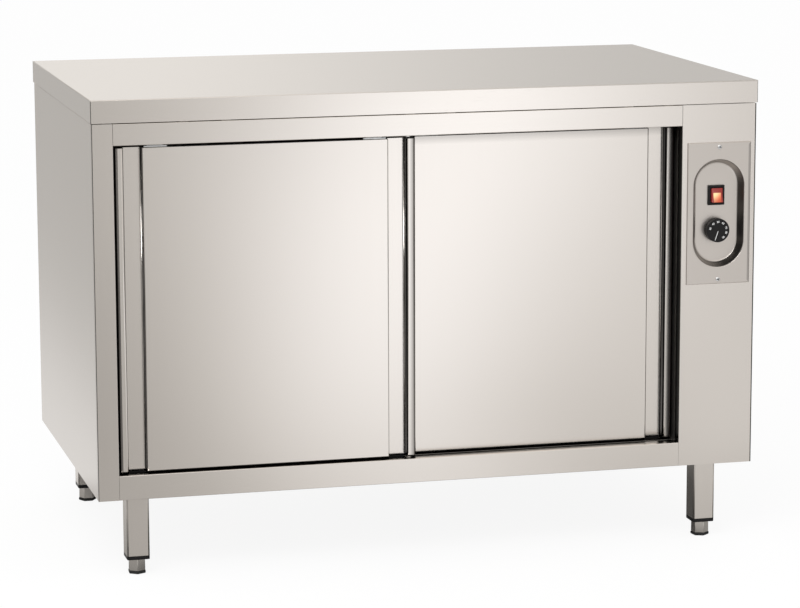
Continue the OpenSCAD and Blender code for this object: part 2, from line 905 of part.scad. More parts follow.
module door_hanger() {
    half = 20;
    slab([roller_in - half, roller_in + half], [3, 15.5], [door_h, door_h + 2]);
    slab([roller_in - 14, roller_in + 14],
         [hanger_y, hanger_y + hanger_t],
         [door_h, roller_z - door_z + 8]);
    rod_y(roller_in, hanger_y, pin_end_y + 0.8, roller_z - door_z, roller_pin_r);
    rod_y(roller_in, pin_end_y, pin_end_y + 0.8, roller_z - door_z, roller_pin_r + 1.5);
}

module at_both_ends() {
    children();
    translate([door_w, 0, 0])
        mirror([1, 0, 0])
            children();
}

module guide_shoe() {
    slab([bar_w + 2, bar_w + channel_w - 2],
         [groove_y - shoe_t / 2, groove_y + shoe_t / 2],
         [-door_bottom_gap - groove_d + sheet + 1.3, 0]);
}

module door_roller() {
    difference() {
        rod_y(0, roller_y, roller_y + roller_w, 0, roller_r);
        rod_y(0, roller_y - 1, roller_y + roller_w + 1, 0, roller_pin_r + roller_fit);
    }
}

module at_left_door() {
    translate([left_door_x, front_door_y, door_z])
        children();
}

module at_right_door() {
    translate([right_door_x, rear_door_y, door_z])
        children();
}

module left_door_outer_skin() {
    color(steel)
        at_left_door()
            door_outer_skin();
}

module left_door_inner_skin() {
    color(plain_steel)
        at_left_door()
            door_inner_skin();
}

module left_door_insulation() {
    color(wool)
        at_left_door()
            door_insulation();
}

module left_door_hangers() {
    color(zinc)
        at_left_door()
            at_both_ends()
                door_hanger();
}

module left_door_guide_shoes() {
    color(black)
        at_left_door()
            at_both_ends()
                guide_shoe();
}

module left_door_left_roller() {
    color(black)
        at_left_door()
            translate([roller_in, 0, roller_z - door_z])
                door_roller();
}

module left_door_right_roller() {
    color(black)
        at_left_door()
            translate([door_w - roller_in, 0, roller_z - door_z])
                door_roller();
}

module right_door_outer_skin() {
    color(steel)
        at_right_door()
            door_outer_skin();
}

module right_door_inner_skin() {
    color(plain_steel)
        at_right_door()
            door_inner_skin();
}

module right_door_insulation() {
    color(wool)
        at_right_door()
            door_insulation();
}

module right_door_hangers() {
    color(zinc)
        at_right_door()
            at_both_ends()
                door_hanger();
}

module right_door_guide_shoes() {
    color(black)
        at_right_door()
            at_both_ends()
                guide_shoe();
}

module right_door_left_roller() {
    color(black)
        at_right_door()
            translate([roller_in, 0, roller_z - door_z])
                door_roller();
}

module right_door_right_roller() {
    color(black)
        at_right_door()
            translate([door_w - roller_in, 0, roller_z - door_z])
                door_roller();
}

// ---- tracks ----

// hanging rail of one door: a web and a lip that the rollers run on
module hanging_rail(y) {
    x = [open_x0 + 1, open_x1 - 1];
    slab(x, [y + rail_web_y, y + rail_web_y + sheet], [rail_top - sheet, track_top]);
    slab(x, [y + rail_y0, y + rail_web_y + sheet], [rail_top - sheet, rail_top]);
}

module upper_door_track() {
    color(zinc) {
        slab([open_x0 + 1, open_x1 - 1], [track_y0, track_y1], [track_top, top_flange_z]);
        hanging_rail(front_door_y);
        hanging_rail(rear_door_y);
    }
}

module lower_door_track() {
    x = [open_x0 + 1, open_x1 - 1];
    half = groove_w / 2;
    a = front_door_y + groove_y;
    b = rear_door_y + groove_y;
    low = open_z0 - groove_d;
    color(steel)
        difference() {
            union() {
                slab(x, [guide_y0, guide_y1], [open_z0 - sheet, open_z0]);
                for (y = [a, b])
                    slab(x, [y - half - sheet, y + half + sheet], [low - sheet, open_z0]);
            }
            for (y = [a, b])
                slab([x[0] - 1, x[1] + 1], [y - half, y + half], [low, open_z0 + 1]);
        }
}

// ---- legs and feet ----

// copies to the low corner of each leg
module at_legs() {
    for (x = [leg_x0, leg_x1])
        for (y = [leg_y0, leg_y1])
            translate([x, y, 0])
                children();
}

module leg_tube() {
    s = leg_side;
    w = leg_wall;
    difference() {
        slab([0, s], [0, s], [leg_z0, body_z0]);
        slab([w, s - w], [w, s - w], [leg_z0 - 1, body_z0 - 6]);
        translate([s / 2, s / 2, body_z0 - 10])
            cylinder(h = 12, r = bolt_r + 0.05);
    }
}

module legs() {
    color(steel)
        at_legs()
            leg_tube();
}

module leg_plug() {
    s = leg_side;
    w = leg_wall + 0.2;
    difference() {
        union() {
            slab([0, s], [0, s], [plug_z0, leg_z0]);
            slab([w, s - w], [w, s - w], [plug_z0, leg_z0 + 20]);
        }
        translate([s / 2, s / 2, plug_z0 - 1])
            cylinder(h = plug_edge + 30, r = screw_r + screw_fit);
    }
}

module leg_plugs() {
    color(black)
        at_legs()
            leg_plug();
}

module leg_bolts() {
    color(zinc)
        at_legs()
            translate([leg_side / 2, leg_side / 2, 0]) {
                translate([0, 0, body_z0 - 8])
                    cylinder(h = 8 + sheet + 0.1, r = bolt_r);
                translate([0, 0, body_z0 + sheet])
                    cylinder(h = 1.6, r = 12);
                translate([0, 0, body_z0 + sheet + 1.6])
                    cylinder(h = 5.3, r = 7.5, $fn = 6);
            }
}

// barrel and screw of a foot, with a hexagon pressed in its top for a spanner
module foot() {
    color(plain_steel)
        translate([leg_side / 2, leg_side / 2, 0]) {
            translate([0, 0, pad_t])
                cylinder(h = foot_h - pad_t, r = foot_r);
            translate([0, 0, foot_h - 1])
                cylinder(h = 48, r = screw_r);
        }
}

module foot_pad() {
    color(black)
        translate([leg_side / 2, leg_side / 2, 0]) {
            translate([0, 0, 1.5])
                cylinder(h = pad_t - 1.5, r = foot_r);
            cylinder(h = 1.5, r1 = foot_r - 1.5, r2 = foot_r);
        }
}

module front_left_foot() {
    translate([leg_x0, leg_y0, 0])
        foot();
}

module front_right_foot() {
    translate([leg_x1, leg_y0, 0])
        foot();
}

module rear_left_foot() {
    translate([leg_x0, leg_y1, 0])
        foot();
}

module rear_right_foot() {
    translate([leg_x1, leg_y1, 0])
        foot();
}

module front_left_foot_pad() {
    translate([leg_x0, leg_y0, 0])
        foot_pad();
}

module front_right_foot_pad() {
    translate([leg_x1, leg_y0, 0])
        foot_pad();
}

module rear_left_foot_pad() {
    translate([leg_x0, leg_y1, 0])
        foot_pad();
}

module rear_right_foot_pad() {
    translate([leg_x1, leg_y1, 0])
        foot_pad();
}

worktop();
worktop_stiffeners();
left_side_panel();
right_side_panel();
back_panel();
base_panel();
left_front_post();
header_rail();
sill_rail();
control_column_panel();
liner_floor();
liner_left_wall();
liner_right_wall();
liner_back();
liner_ceiling();
insulation_blankets();
shelf();
shelf_uprights();
shelf_clips();
air_duct_housing();
fan_wheel();
fan_motor();
heating_element();
thermostat();
thermostat_spindle();
terminal_block();
cable_gland();
control_plate();
control_plate_screws();
switch_housing();
switch_rocker();
thermostat_knob();
upper_door_track();
lower_door_track();
left_door_outer_skin();
left_door_inner_skin();
left_door_insulation();
left_door_hangers();
left_door_guide_shoes();
left_door_left_roller();
left_door_right_roller();
right_door_outer_skin();
right_door_inner_skin();
right_door_insulation();
right_door_hangers();
right_door_guide_shoes();
right_door_left_roller();
right_door_right_roller();
legs();
leg_plugs();
leg_bolts();
front_left_foot();
front_right_foot();
rear_left_foot();
rear_right_foot();
front_left_foot_pad();
front_right_foot_pad();
rear_left_foot_pad();
rear_right_foot_pad();
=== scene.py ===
"""A plate warmer cabinet with two sliding doors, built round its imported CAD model.

Sizes are in millimetres inside the functions that make a mesh, and in metres in the scene.
"""

import json
import math

import bmesh
import bpy
from bpy.props import FloatProperty, FloatVectorProperty, IntProperty, PointerProperty
from mathutils import Matrix, Vector

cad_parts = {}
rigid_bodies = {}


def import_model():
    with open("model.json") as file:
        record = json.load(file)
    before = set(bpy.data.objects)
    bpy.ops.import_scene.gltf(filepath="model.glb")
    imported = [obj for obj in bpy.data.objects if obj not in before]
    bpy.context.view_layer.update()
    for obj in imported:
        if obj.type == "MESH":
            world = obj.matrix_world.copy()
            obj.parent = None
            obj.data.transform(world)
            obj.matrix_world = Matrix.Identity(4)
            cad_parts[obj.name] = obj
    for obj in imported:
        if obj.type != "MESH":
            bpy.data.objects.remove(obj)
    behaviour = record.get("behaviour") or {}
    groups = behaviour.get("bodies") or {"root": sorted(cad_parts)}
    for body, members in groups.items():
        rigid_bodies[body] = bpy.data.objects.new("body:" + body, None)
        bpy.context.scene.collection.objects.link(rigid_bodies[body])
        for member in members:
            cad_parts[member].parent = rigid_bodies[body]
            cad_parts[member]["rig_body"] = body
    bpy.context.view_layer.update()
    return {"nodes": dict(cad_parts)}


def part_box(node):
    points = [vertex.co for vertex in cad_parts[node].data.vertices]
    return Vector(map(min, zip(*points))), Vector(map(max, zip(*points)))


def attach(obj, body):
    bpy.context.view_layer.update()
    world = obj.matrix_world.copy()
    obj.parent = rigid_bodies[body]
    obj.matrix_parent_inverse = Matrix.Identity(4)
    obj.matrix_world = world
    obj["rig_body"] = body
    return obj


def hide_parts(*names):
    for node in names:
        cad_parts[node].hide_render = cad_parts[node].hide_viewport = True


bl_info = {
    "name": "Plate warmer cabinet",
    "version": (1, 0, 0),
    "blender": (4, 5, 0),
    "location": "3D View > Sidebar > Plate Warmer",
    "description": "Builds the finishes and detailed pieces of a plate warmer cabinet",
    "category": "Object",
}

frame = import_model()

SHEET = 1.2
SHARP = math.radians(38.0)
BODY_FRONT = -346.6
DISH_FLOOR = -332.1
ROCKER_PIVOT = -330.1
ROCKER_TILT = 10.0
ENDS = ("front_left", "front_right", "rear_left", "rear_right")

# painted shade, marked on faces in seams, deep folds and other places that lie in shade, from 0 for
# fully lit to 1 for black
SHADED = "shaded"
FOLD_DARK = 0.72
RETURN_DARK = 0.975
CHANNEL_DARK = 0.985
END_DARK = 0.9

WHITE = (1.0, 1.0, 1.0)
BLACK = (0.0, 0.0, 0.0)
DIM_LIGHT = (1.0, 0.975, 0.94)
BRIGHT_LIGHT = (0.985, 0.995, 1.015)


# ---- sizes and colours ----


def length(name, description, default):
    """A size in metres."""
    return FloatProperty(
        name=name,
        description=description,
        default=default,
        min=0.0,
        max=0.1,
        precision=5,
        unit="LENGTH",
        subtype="DISTANCE",
    )


def share(name, description, default, high=1.0):
    """A number from nothing to high."""
    return FloatProperty(
        name=name, description=description, default=default, min=0.0, max=high, subtype="FACTOR"
    )


def colour(name, description, default):
    """A colour in linear light."""
    return FloatVectorProperty(
        name=name,
        description=description,
        default=default,
        min=0.0,
        max=1.0,
        size=3,
        subtype="COLOR",
    )


class PLATEWARMER_PG_sheet(bpy.types.PropertyGroup):
    """Sizes of the folded sheet steel."""

    bend: length("Panel bend", "Outer radius of the bends of the body panels", 0.0011)
    top_bend: length("Worktop bend", "Outer radius of the worktop's bends", 0.0018)
    bar_bend: length("Bar bend", "Outer radius of the folds of the doors' upright bars", 0.004)
    door_bend: length("Door bend", "Outer radius of the folds of the doors' panels", 0.0022)
    channel_bend: length("Channel bend", "Inner radius at the floor of a finger channel", 0.0012)
    cut_edge: length("Cut edge", "How far a cut edge is eased", 0.00025)
    grain: share("Grain", "How much the brushed grain shows", 0.5)


class PLATEWARMER_PG_controls(bpy.types.PropertyGroup):
    """Sizes of the control plate and what it carries."""

    dish_rim: length("Dish rim", "Radius where the plate's face turns into the dish", 0.0016)
    dish_floor: length("Dish floor", "Radius where the dish's wall meets its floor", 0.0034)
    bezel_edge: length("Bezel edge", "Radius of the switch bezel's front edges", 0.0012)
    flutes: IntProperty(name="Flutes", description="Grip flutes round the knob", default=36, min=12)
    numeral: length("Numeral height", "Height of the knob's numerals", 0.0049)
    numeral_ring: length("Numeral ring", "Distance of the numerals from the knob's centre", 0.0155)
    pointer: length("Pointer", "Length of the knob's pointer line", 0.017)
    glow: share("Glow", "Strength of the lit switch lens", 1.0, 4.0)


class PLATEWARMER_PG_legs(bpy.types.PropertyGroup):
    """Sizes of the legs and feet."""

    corner: length("Leg corner", "Outer corner radius of the square leg tube", 0.003)
    plug_edge: length("Plug edge", "Rounding under the leg plugs", 0.0014)
    foot_edge: length("Foot edge", "Chamfer of the feet", 0.001)


class PLATEWARMER_PG_colours(bpy.types.PropertyGroup):
    """Colours of the finishes."""

    steel: colour("Outer steel", "Brushed stainless of the outside", (0.80, 0.755, 0.712))
    plain: colour("Inner steel", "Dull stainless of the warm space", (0.68, 0.65, 0.615))
    plate: colour("Control plate", "Matt pressed steel", (0.70, 0.655, 0.615))
    zinc: colour("Zinc", "Zinc plated fittings", (0.82, 0.83, 0.84))
    black: colour("Black plastic", "Knob, bezel and leg plugs", (0.008, 0.0076, 0.008))
    rubber: colour("Rubber", "Pads under the feet", (0.018, 0.018, 0.018))
    lens: colour("Lens", "Red lens of the switch", (0.20, 0.018, 0.014))
    print_white: colour("Print", "Numerals and pointer", (0.85, 0.85, 0.84))


class PLATEWARMER_PG_studio(bpy.types.PropertyGroup):
    """Light and floor."""

    lamp: FloatProperty(name="Lamp", description="Power of the soft lamp", default=60.0, min=0.0)
    floor_shadow: share("Floor shadow", "How much of the floor takes the shadow", 0.10)


SETTINGS = {
    "sheet": PLATEWARMER_PG_sheet,
    "controls": PLATEWARMER_PG_controls,
    "legs": PLATEWARMER_PG_legs,
    "colours": PLATEWARMER_PG_colours,
    "studio": PLATEWARMER_PG_studio,
}


def settings(name):
    """One group of sizes or colours."""
    return getattr(bpy.context.scene, "plate_warmer_" + name)


def mm(metres):
    """Metres to millimetres."""
    return metres * 1000.0


# ---- node building ----


class Wire:
    """An output of a node, which can stand in a sum."""

    def __init__(self, finish, socket):
        self.finish = finish
        self.socket = socket

    def _maths(self, operation, *values):
        return self.finish.add("ShaderNodeMath", {"operation": operation}, dict(enumerate(values)))

    def __add__(self, other):
        return self._maths("ADD", self, other)

    def __radd__(self, other):
        return self._maths("ADD", other, self)

    def __sub__(self, other):
        return self._maths("SUBTRACT", self, other)

    def __rsub__(self, other):
        return self._maths("SUBTRACT", other, self)

    def __mul__(self, other):
        return self._maths("MULTIPLY", self, other)

    def __rmul__(self, other):
        return self._maths("MULTIPLY", other, self)

    def __truediv__(self, other):
        return self._maths("DIVIDE", self, other)

    def absolute(self):
        """The value without its sign."""
        return self._maths("ABSOLUTE", self)


class Nodes:
    """Adds nodes to one node tree."""

    def __init__(self, tree):
        self.tree = tree
        tree.nodes.clear()

    def put(self, socket, value):
        """Gives a socket a value or a link."""
        if isinstance(value, Wire):
            self.tree.links.new(value.socket, socket)
        elif hasattr(value, "__len__") and len(value) == 3 and len(socket.default_value) == 4:
            socket.default_value = (*value, 1.0)
        else:
            socket.default_value = value

    def add(self, kind, choices=None, inputs=None, out=0):
        """A node of one kind, with its settings and then its sockets."""
        node = self.tree.nodes.new(kind)
        for key, value in (choices or {}).items():
            if key == "stops":
                self._ramp(node.color_ramp, value)
            else:
                setattr(node, key, value)
        for key, value in (inputs or {}).items():
            self.put(node.inputs[key], value)
        return Wire(self, node.outputs[out]) if len(node.outputs) else node

    def _ramp(self, ramp, stops):
        ramp.interpolation = "EASE"
        while len(ramp.elements) < len(stops):
            ramp.elements.new(1.0)
        for element, (place, tone) in zip(ramp.elements, stops):
            element.position = place
            element.color = (tone, tone, tone, 1.0)

    def part(self, vector, axis):
        """One part of a vector."""
        return self.add("ShaderNodeSeparateXYZ", None, {0: vector}, axis)

    def blend(self, factor, first, second):
        """A colour between two colours."""
        return self.add(
            "ShaderNodeMix", {"data_type": "RGBA"}, {0: factor, 6: first, 7: second}, out=2
        )

    def profile(self, value, rows, low, high, most):
        """A level read from rows of places between low and high, and levels up to most."""
        stops = [((place - low) / (high - low), level / most) for place, level in rows]
        along_it = (value - low) / (high - low)
        tone = self.add("ShaderNodeValToRGB", {"stops": stops}, {"Fac": along_it})
        return self.add("ShaderNodeSeparateColor", None, {"Color": tone}) * most

    def either(self, factor, first, second):
        """The first shader where the factor is 0, and the second where it is 1."""
        return self.add("ShaderNodeMixShader", None, {0: factor, 1: first, 2: second})

    def by_ray(self, rest, clear, shiny, camera):
        """A shader that clear surfaces, shiny surfaces and the camera each see as their own."""
        for kind, shader in (("Transmission", clear), ("Glossy", shiny), ("Camera", camera)):
            seen = self.add("ShaderNodeLightPath", None, None, f"Is {kind} Ray")
            rest = self.either(seen, rest, shader)
        return rest

    def spread(self, value, low, high, start=0.0, end=1.0):
        """A value moved from one range to another, and kept inside it."""
        return self.add(
            "ShaderNodeMapRange",
            {"interpolation_type": "SMOOTHSTEP"},
            {"Value": value, "From Min": low, "From Max": high, "To Min": start, "To Max": end},
        )


class Finish(Nodes):
    """A material on a Principled shader."""

    def __init__(self, name, **constants):
        self.material = bpy.data.materials.new(name)
        self.material.use_nodes = True
        super().__init__(self.material.node_tree)
        self.shader = self.tree.nodes.new("ShaderNodeBsdfPrincipled")
        output = self.tree.nodes.new("ShaderNodeOutputMaterial")
        self.tree.links.new(self.shader.outputs[0], output.inputs["Surface"])
        for key, value in constants.items():
            self.put(self.shader.inputs[key.replace("_", " ")], value)
        self.here = self.add("ShaderNodeTexCoord", out="Object")

    def noise(self, cells, detail, rough):
        """Noise with so many cells a metre, all ways alike or given for each axis."""
        scale = cells if hasattr(cells, "__len__") else (cells,) * 3
        place = self.add("ShaderNodeMapping", None, {"Vector": self.here, "Scale": scale})
        return self.add(
            "ShaderNodeTexNoise",
            None,
            {"Vector": place, "Scale": 1.0, "Detail": detail, "Roughness": rough},
        )

    def feed(self, socket, value):
        """Feeds a socket of the shader."""
        self.put(self.shader.inputs[socket], value)

    def shade(self, tone):
        """A colour darkened by painted shade where the piece's faces are marked as shaded."""
        marked = self.add("ShaderNodeAttribute", {"attribute_name": SHADED}, out="Fac")
        return self.blend(marked, tone, BLACK)

    def bump(self, height, strength, distance):
        """Feeds the shader's normal from a height."""
        inputs = {"Height": height, "Strength": strength, "Distance": distance}
        self.feed("Normal", self.add("ShaderNodeBump", None, inputs))


def toned(tone, factor):
    """A colour made lighter or darker."""
    return tuple(min(1.0, part * factor) for part in tone)


def brushed_steel(name, tone, grain_way, rough, streak=0.05, cloudy=0.03, marks=0.0):
    """Brushed sheet: fine grain one way, faint clouds, and on a worktop a few fine scratches."""
    finish = Finish(name, Metallic=1.0)
    strength = settings("sheet").grain
    cells = tuple(9.0 if axis == grain_way else 1900.0 for axis in "xyz")
    grain = finish.noise(cells, 2.0, 0.6)
    wide = finish.noise(tuple(part / 6.0 for part in cells), 2.0, 0.5)
    clouds = finish.noise(2.3, 2.0, 0.5)
    lines = grain * 0.6 + wide * 0.4
    light = 0.5 + (lines - 0.5) * (16.0 * streak * strength) + (clouds - 0.5) * (cloudy * 8.0)
    metal = finish.blend(light, toned(tone, 0.97), toned(tone, 1.03))
    # the marked faces get painted shade in the base colour
    finish.feed("Base Color", finish.shade(metal))
    dull = rough + (clouds - 0.5) * 0.03 + (lines - 0.5) * (0.10 * strength)
    if marks:
        scratch = finish.noise((60.0, 900.0, 900.0), 1.0, 0.4)
        patch = finish.spread(finish.noise(4.0, 1.0, 0.5), 0.5, 0.7)
        dull = dull + finish.spread(scratch, 0.66, 0.72) * patch * marks
    finish.feed("Roughness", dull)
    finish.bump(lines, 0.25 * strength, 0.00002)
    return finish.material


def plated_steel(name, tone):
    """Zinc plated steel, with its faint crystals."""
    finish = Finish(name, Metallic=1.0)
    crystals = finish.add(
        "ShaderNodeTexVoronoi", {"feature": "F1"}, {"Vector": finish.here, "Scale": 260.0}, "Color"
    )
    shade = finish.add("ShaderNodeSeparateColor", None, {"Color": crystals})
    dirt = finish.noise(35.0, 3.0, 0.6)
    light = shade * 0.6 + dirt * 0.5
    metal = finish.blend(light, toned(tone, 0.88), toned(tone, 1.08))
    # the marked faces, such as the screws' recesses, get painted shade in the base colour
    finish.feed("Base Color", finish.shade(metal))
    finish.feed("Roughness", 0.24 + shade * 0.10 + dirt * 0.12)
    finish.bump(dirt, 0.15, 0.0002)
    return finish.material


def moulded_plastic(name, tone, rough, texture, depth):
    """Moulded plastic with a fine spark-eroded texture and handled, shinier places."""
    finish = Finish(name, Metallic=0.0, IOR=1.5, Specular_IOR_Level=0.22)
    pits = finish.noise(texture, 3.0, 0.65)
    worn = finish.noise(70.0, 2.0, 0.5)
    finish.feed("Base Color", finish.blend(worn * 0.7 + pits * 0.3, toned(tone, 0.7), toned(tone, 1.5)))
    finish.feed("Roughness", rough + (pits - 0.5) * 0.18 - (worn - 0.5) * 0.14)
    finish.bump(pits, 0.5, depth)
    return finish.material


def wool_blanket(name, tone):
    """Mineral wool with matted fibres."""
    finish = Finish(name, Metallic=0.0, Roughness=0.95)
    fibres = finish.noise((160.0, 900.0, 900.0), 5.0, 0.75)
    tufts = finish.noise(45.0, 3.0, 0.6)
    finish.feed(
        "Base Color", finish.blend(fibres * 0.6 + tufts * 0.4, toned(tone, 0.72), toned(tone, 1.1))
    )
    finish.bump(fibres + tufts, 0.9, 0.002)
    return finish.material


def painted(name, tone, rough):
    """Sprayed paint with slight orange peel."""
    finish = Finish(name, Metallic=0.0)
    peel = finish.noise(420.0, 2.0, 0.5)
    dust = finish.noise(30.0, 4.0, 0.6)
    finish.feed("Base Color", finish.blend(dust, toned(tone, 0.85), toned(tone, 1.2)))
    finish.feed("Roughness", rough + (dust - 0.5) * 0.2)
    finish.bump(peel, 0.3, 0.0001)
    return finish.material


def heated_tube(name, tone):
    """Sheath of the heating element, coloured by heat."""
    finish = Finish(name, Metallic=0.9)
    scale = finish.noise(120.0, 4.0, 0.6)
    blued = finish.noise(14.0, 2.0, 0.5)
    dark = finish.blend(scale, toned(tone, 0.7), toned(tone, 1.4))
    finish.feed("Base Color", finish.blend(blued * 0.7, dark, (0.16, 0.13, 0.16)))
    finish.feed("Roughness", 0.4 + scale * 0.25)
    finish.bump(scale, 0.3, 0.0002)
    return finish.material


# the lit part of the lens in metres: its middle from the pivot, and half of it, sharp and soft
LIT_X, LIT_Z = 0.0010, -0.0030
LIT_HALF_X, LIT_HALF_Z = (0.0062, 0.0078), (0.0072, 0.0090)


def lit_lens(name, tone, centre):
    """Clear red lens with a lamp behind the middle of its face."""
    finish = Finish(name, Metallic=0.0, IOR=1.49, Coat_Weight=0.4, Coat_Roughness=0.05)
    offset = finish.add(
        "ShaderNodeVectorMath", {"operation": "SUBTRACT"}, {0: finish.here, 1: centre}
    )
    turn_back = {"Vector": offset, "Angle": -math.radians(ROCKER_TILT)}
    level = finish.add("ShaderNodeVectorRotate", {"rotation_type": "X_AXIS"}, turn_back)
    across = finish.part(level, "X") - LIT_X
    up = finish.part(level, "Z") - LIT_Z
    inside = finish.spread(across.absolute(), *LIT_HALF_X, 1.0, 0.0)
    inside = inside * finish.spread(up.absolute(), *LIT_HALF_Z, 1.0, 0.0)
    corner = finish.spread(up - across * 0.9, -0.009, 0.010)
    haze = finish.noise(500.0, 2.0, 0.5)
    flame = finish.blend(corner, (0.95, 0.20, 0.05), (1.0, 0.86, 0.42))
    fall = finish.spread(up, -0.008, 0.006, 0.42, 1.0) * finish.spread(across, -0.001, 0.006, 1.0, 0.75)
    glow = finish.blend(inside * fall * (0.9 + haze * 0.1), (0.075, 0.006, 0.005), flame)
    finish.feed("Base Color", finish.blend(haze * 0.4, tone, toned(tone, 1.4)))
    finish.feed("Emission Color", glow)
    finish.feed("Emission Strength", settings("controls").glow)
    finish.feed("Roughness", 0.16 + haze * 0.10)
    finish.bump(haze, 0.1, 0.0001)
    return finish.material


def printed_ink(name, tone):
    """White ink on the knob, slightly uneven."""
    finish = Finish(name, Metallic=0.0)
    uneven = finish.noise(900.0, 3.0, 0.6)
    finish.feed("Base Color", finish.blend(uneven, toned(tone, 0.85), toned(tone, 1.05)))
    finish.feed("Roughness", 0.5 + uneven * 0.2)
    finish.bump(uneven, 0.2, 0.00005)
    return finish.material


FINISHES = {}


def make_finishes():
    """All materials, by name."""
    tones = settings("colours")
    steel, plain, black = tuple(tones.steel), tuple(tones.plain), tuple(tones.black)
    FINISHES.update(
        worktop=brushed_steel("worktop_steel", steel, "x", 0.19, 0.05, 0.03, 0.06),
        front=brushed_steel("front_steel", steel, "x", 0.19),
        door=brushed_steel("door_steel", steel, "z", 0.20),
        side=brushed_steel("side_steel", steel, "y", 0.22),
        leg=brushed_steel("leg_steel", toned(steel, 0.97), "z", 0.26),
        plain=brushed_steel("inner_steel", plain, "x", 0.34, 0.04, 0.05),
        plain_side=brushed_steel("inner_side_steel", plain, "y", 0.34, 0.04, 0.05),
        foot=brushed_steel("turned_foot_steel", plain, "z", 0.28, 0.04, 0.03),
        plate=brushed_steel("control_plate_steel", tuple(tones.plate), "x", 0.36, 0.03, 0.03),
        zinc=plated_steel("zinc_plating", tuple(tones.zinc)),
        capillary=plated_steel("thermostat_metal", (0.72, 0.70, 0.64)),
        wool=wool_blanket("mineral_wool", (0.74, 0.66, 0.38)),
        motor=painted("motor_paint", (0.075, 0.08, 0.09), 0.4),
        heater=heated_tube("heater_sheath", (0.10, 0.085, 0.075)),
        terminal=moulded_plastic("terminal_plastic", (0.70, 0.68, 0.60), 0.5, 900.0, 0.0001),
        black=moulded_plastic("bezel_plastic", black, 0.30, 1800.0, 0.00004),
        knob=moulded_plastic("knob_plastic", black, 0.42, 1300.0, 0.00012),
        gland=moulded_plastic("gland_plastic", black, 0.45, 1000.0, 0.0001),
        rubber=moulded_plastic("pad_rubber", tuple(tones.rubber), 0.75, 700.0, 0.0003),
        lens=lit_lens("red_lens", tuple(tones.lens), rocker_pivot() / 1000.0),
        print=printed_ink("white_print", tuple(tones.print_white)),
    )


# which finish each carried-over CAD node has
NODE_FINISH = {
    "front": ["header_rail", "sill_rail", "left_front_post", "control_column_panel"],
    "worktop": ["worktop", "lower_door_track"],
    "side": ["left_side_panel", "right_side_panel"],
    "leg": ["legs"],
    "plain": [
        "back_panel", "base_panel", "shelf", "liner_floor", "liner_back", "liner_ceiling",
        "worktop_stiffeners", "left_door_inner_skin", "right_door_inner_skin",
        "left_door_outer_skin", "right_door_outer_skin",
    ],
    "plain_side": [
        "liner_left_wall", "liner_right_wall", "shelf_uprights", "shelf_clips", "air_duct_housing",
    ],
    "foot": [end + "_foot" for end in ENDS],
    "plate": ["control_plate"],
    "zinc": [
        "upper_door_track", "leg_bolts", "control_plate_screws", "left_door_hangers",
        "right_door_hangers", "fan_wheel",
    ],
    "capillary": ["thermostat", "thermostat_spindle"],
    "wool": ["insulation_blankets", "left_door_insulation", "right_door_insulation"],
    "motor": ["fan_motor"],
    "heater": ["heating_element"],
    "terminal": [
        "terminal_block", "left_door_left_roller", "left_door_right_roller",
        "right_door_left_roller", "right_door_right_roller",
    ],
    "black": ["switch_housing", "leg_plugs", "left_door_guide_shoes", "right_door_guide_shoes"],
    "gland": ["cable_gland"],
    "knob": ["thermostat_knob"],
    "rubber": [end + "_foot_pad" for end in ENDS],
    "lens": ["switch_rocker"],
}


def finish_nodes():
    """Gives every CAD node its material."""
    for name, nodes in NODE_FINISH.items():
        for node in nodes:
            shown = frame["nodes"][node]
            if not shown.material_slots:
                raise RuntimeError(f"{node} has no material slot")
            for place in shown.material_slots:
                place.material = FINISHES[name]


# ---- mesh building, in millimetres ----


def span(node):
    """Lowest and highest corner of a CAD node."""
    low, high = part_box(node)
    return low * 1000.0, high * 1000.0


def centre_of(node):
    """The middle of a CAD node's box."""
    low, high = span(node)
    return (low + high) / 2.0


def middle(face):
    """The middle of a face."""
    return face.calc_center_median()


def start_mesh():
    """An empty mesh whose faces can be marked as shaded."""
    bm = bmesh.new()
    bm.faces.layers.float.new(SHADED)
    return bm


def block(bm, low, high):
    """A closed box between two corners; its vertices."""
    made = bmesh.ops.create_cube(bm, size=1.0)["verts"]
    bmesh.ops.scale(bm, vec=[b - a for a, b in zip(low, high)], verts=made)
    bmesh.ops.translate(bm, vec=[(a + b) / 2.0 for a, b in zip(low, high)], verts=made)
    return made


def edges_of(verts):
    """Edges whose two ends are both among the vertices."""
    chosen = set(verts)
    return list({e for v in chosen for e in v.link_edges if all(w in chosen for w in e.verts)})


def faces_of(verts):
    """Faces whose corners are all among the vertices."""
    chosen = set(verts)
    return list({f for v in chosen for f in v.link_faces if all(w in chosen for w in f.verts)})


def drawn_out(bm, edges):
    """Extrudes edges in place, and gives the new vertices and faces."""
    made = bmesh.ops.extrude_edge_only(bm, edges=edges)["geom"]
    kinds = (bmesh.types.BMVert, bmesh.types.BMFace)
    return [[part for part in made if isinstance(part, kind)] for kind in kinds]


def closed_loop(bm, corners):
    """Vertices at the corners, joined by edges into a loop; its edges."""
    verts = [bm.verts.new(corner) for corner in corners]
    return [bm.edges.new(pair) for pair in zip(verts, verts[1:] + verts[:1])]


def cut_across(bm, point, normal):
    """Cuts the whole mesh along a plane."""
    geom = list(bm.verts) + list(bm.edges) + list(bm.faces)
    bmesh.ops.bisect_plane(bm, geom=geom, plane_co=point, plane_no=normal)


def along(edge, axis):
    """Whether an edge runs along one axis."""
    step = edge.verts[1].co - edge.verts[0].co
    return abs(step[axis]) > 0.999 * step.length


def at(edge, axis, value, near=0.01):
    """Whether both ends of an edge lie at a value on one axis."""
    return all(abs(v.co[axis] - value) < near for v in edge.verts)


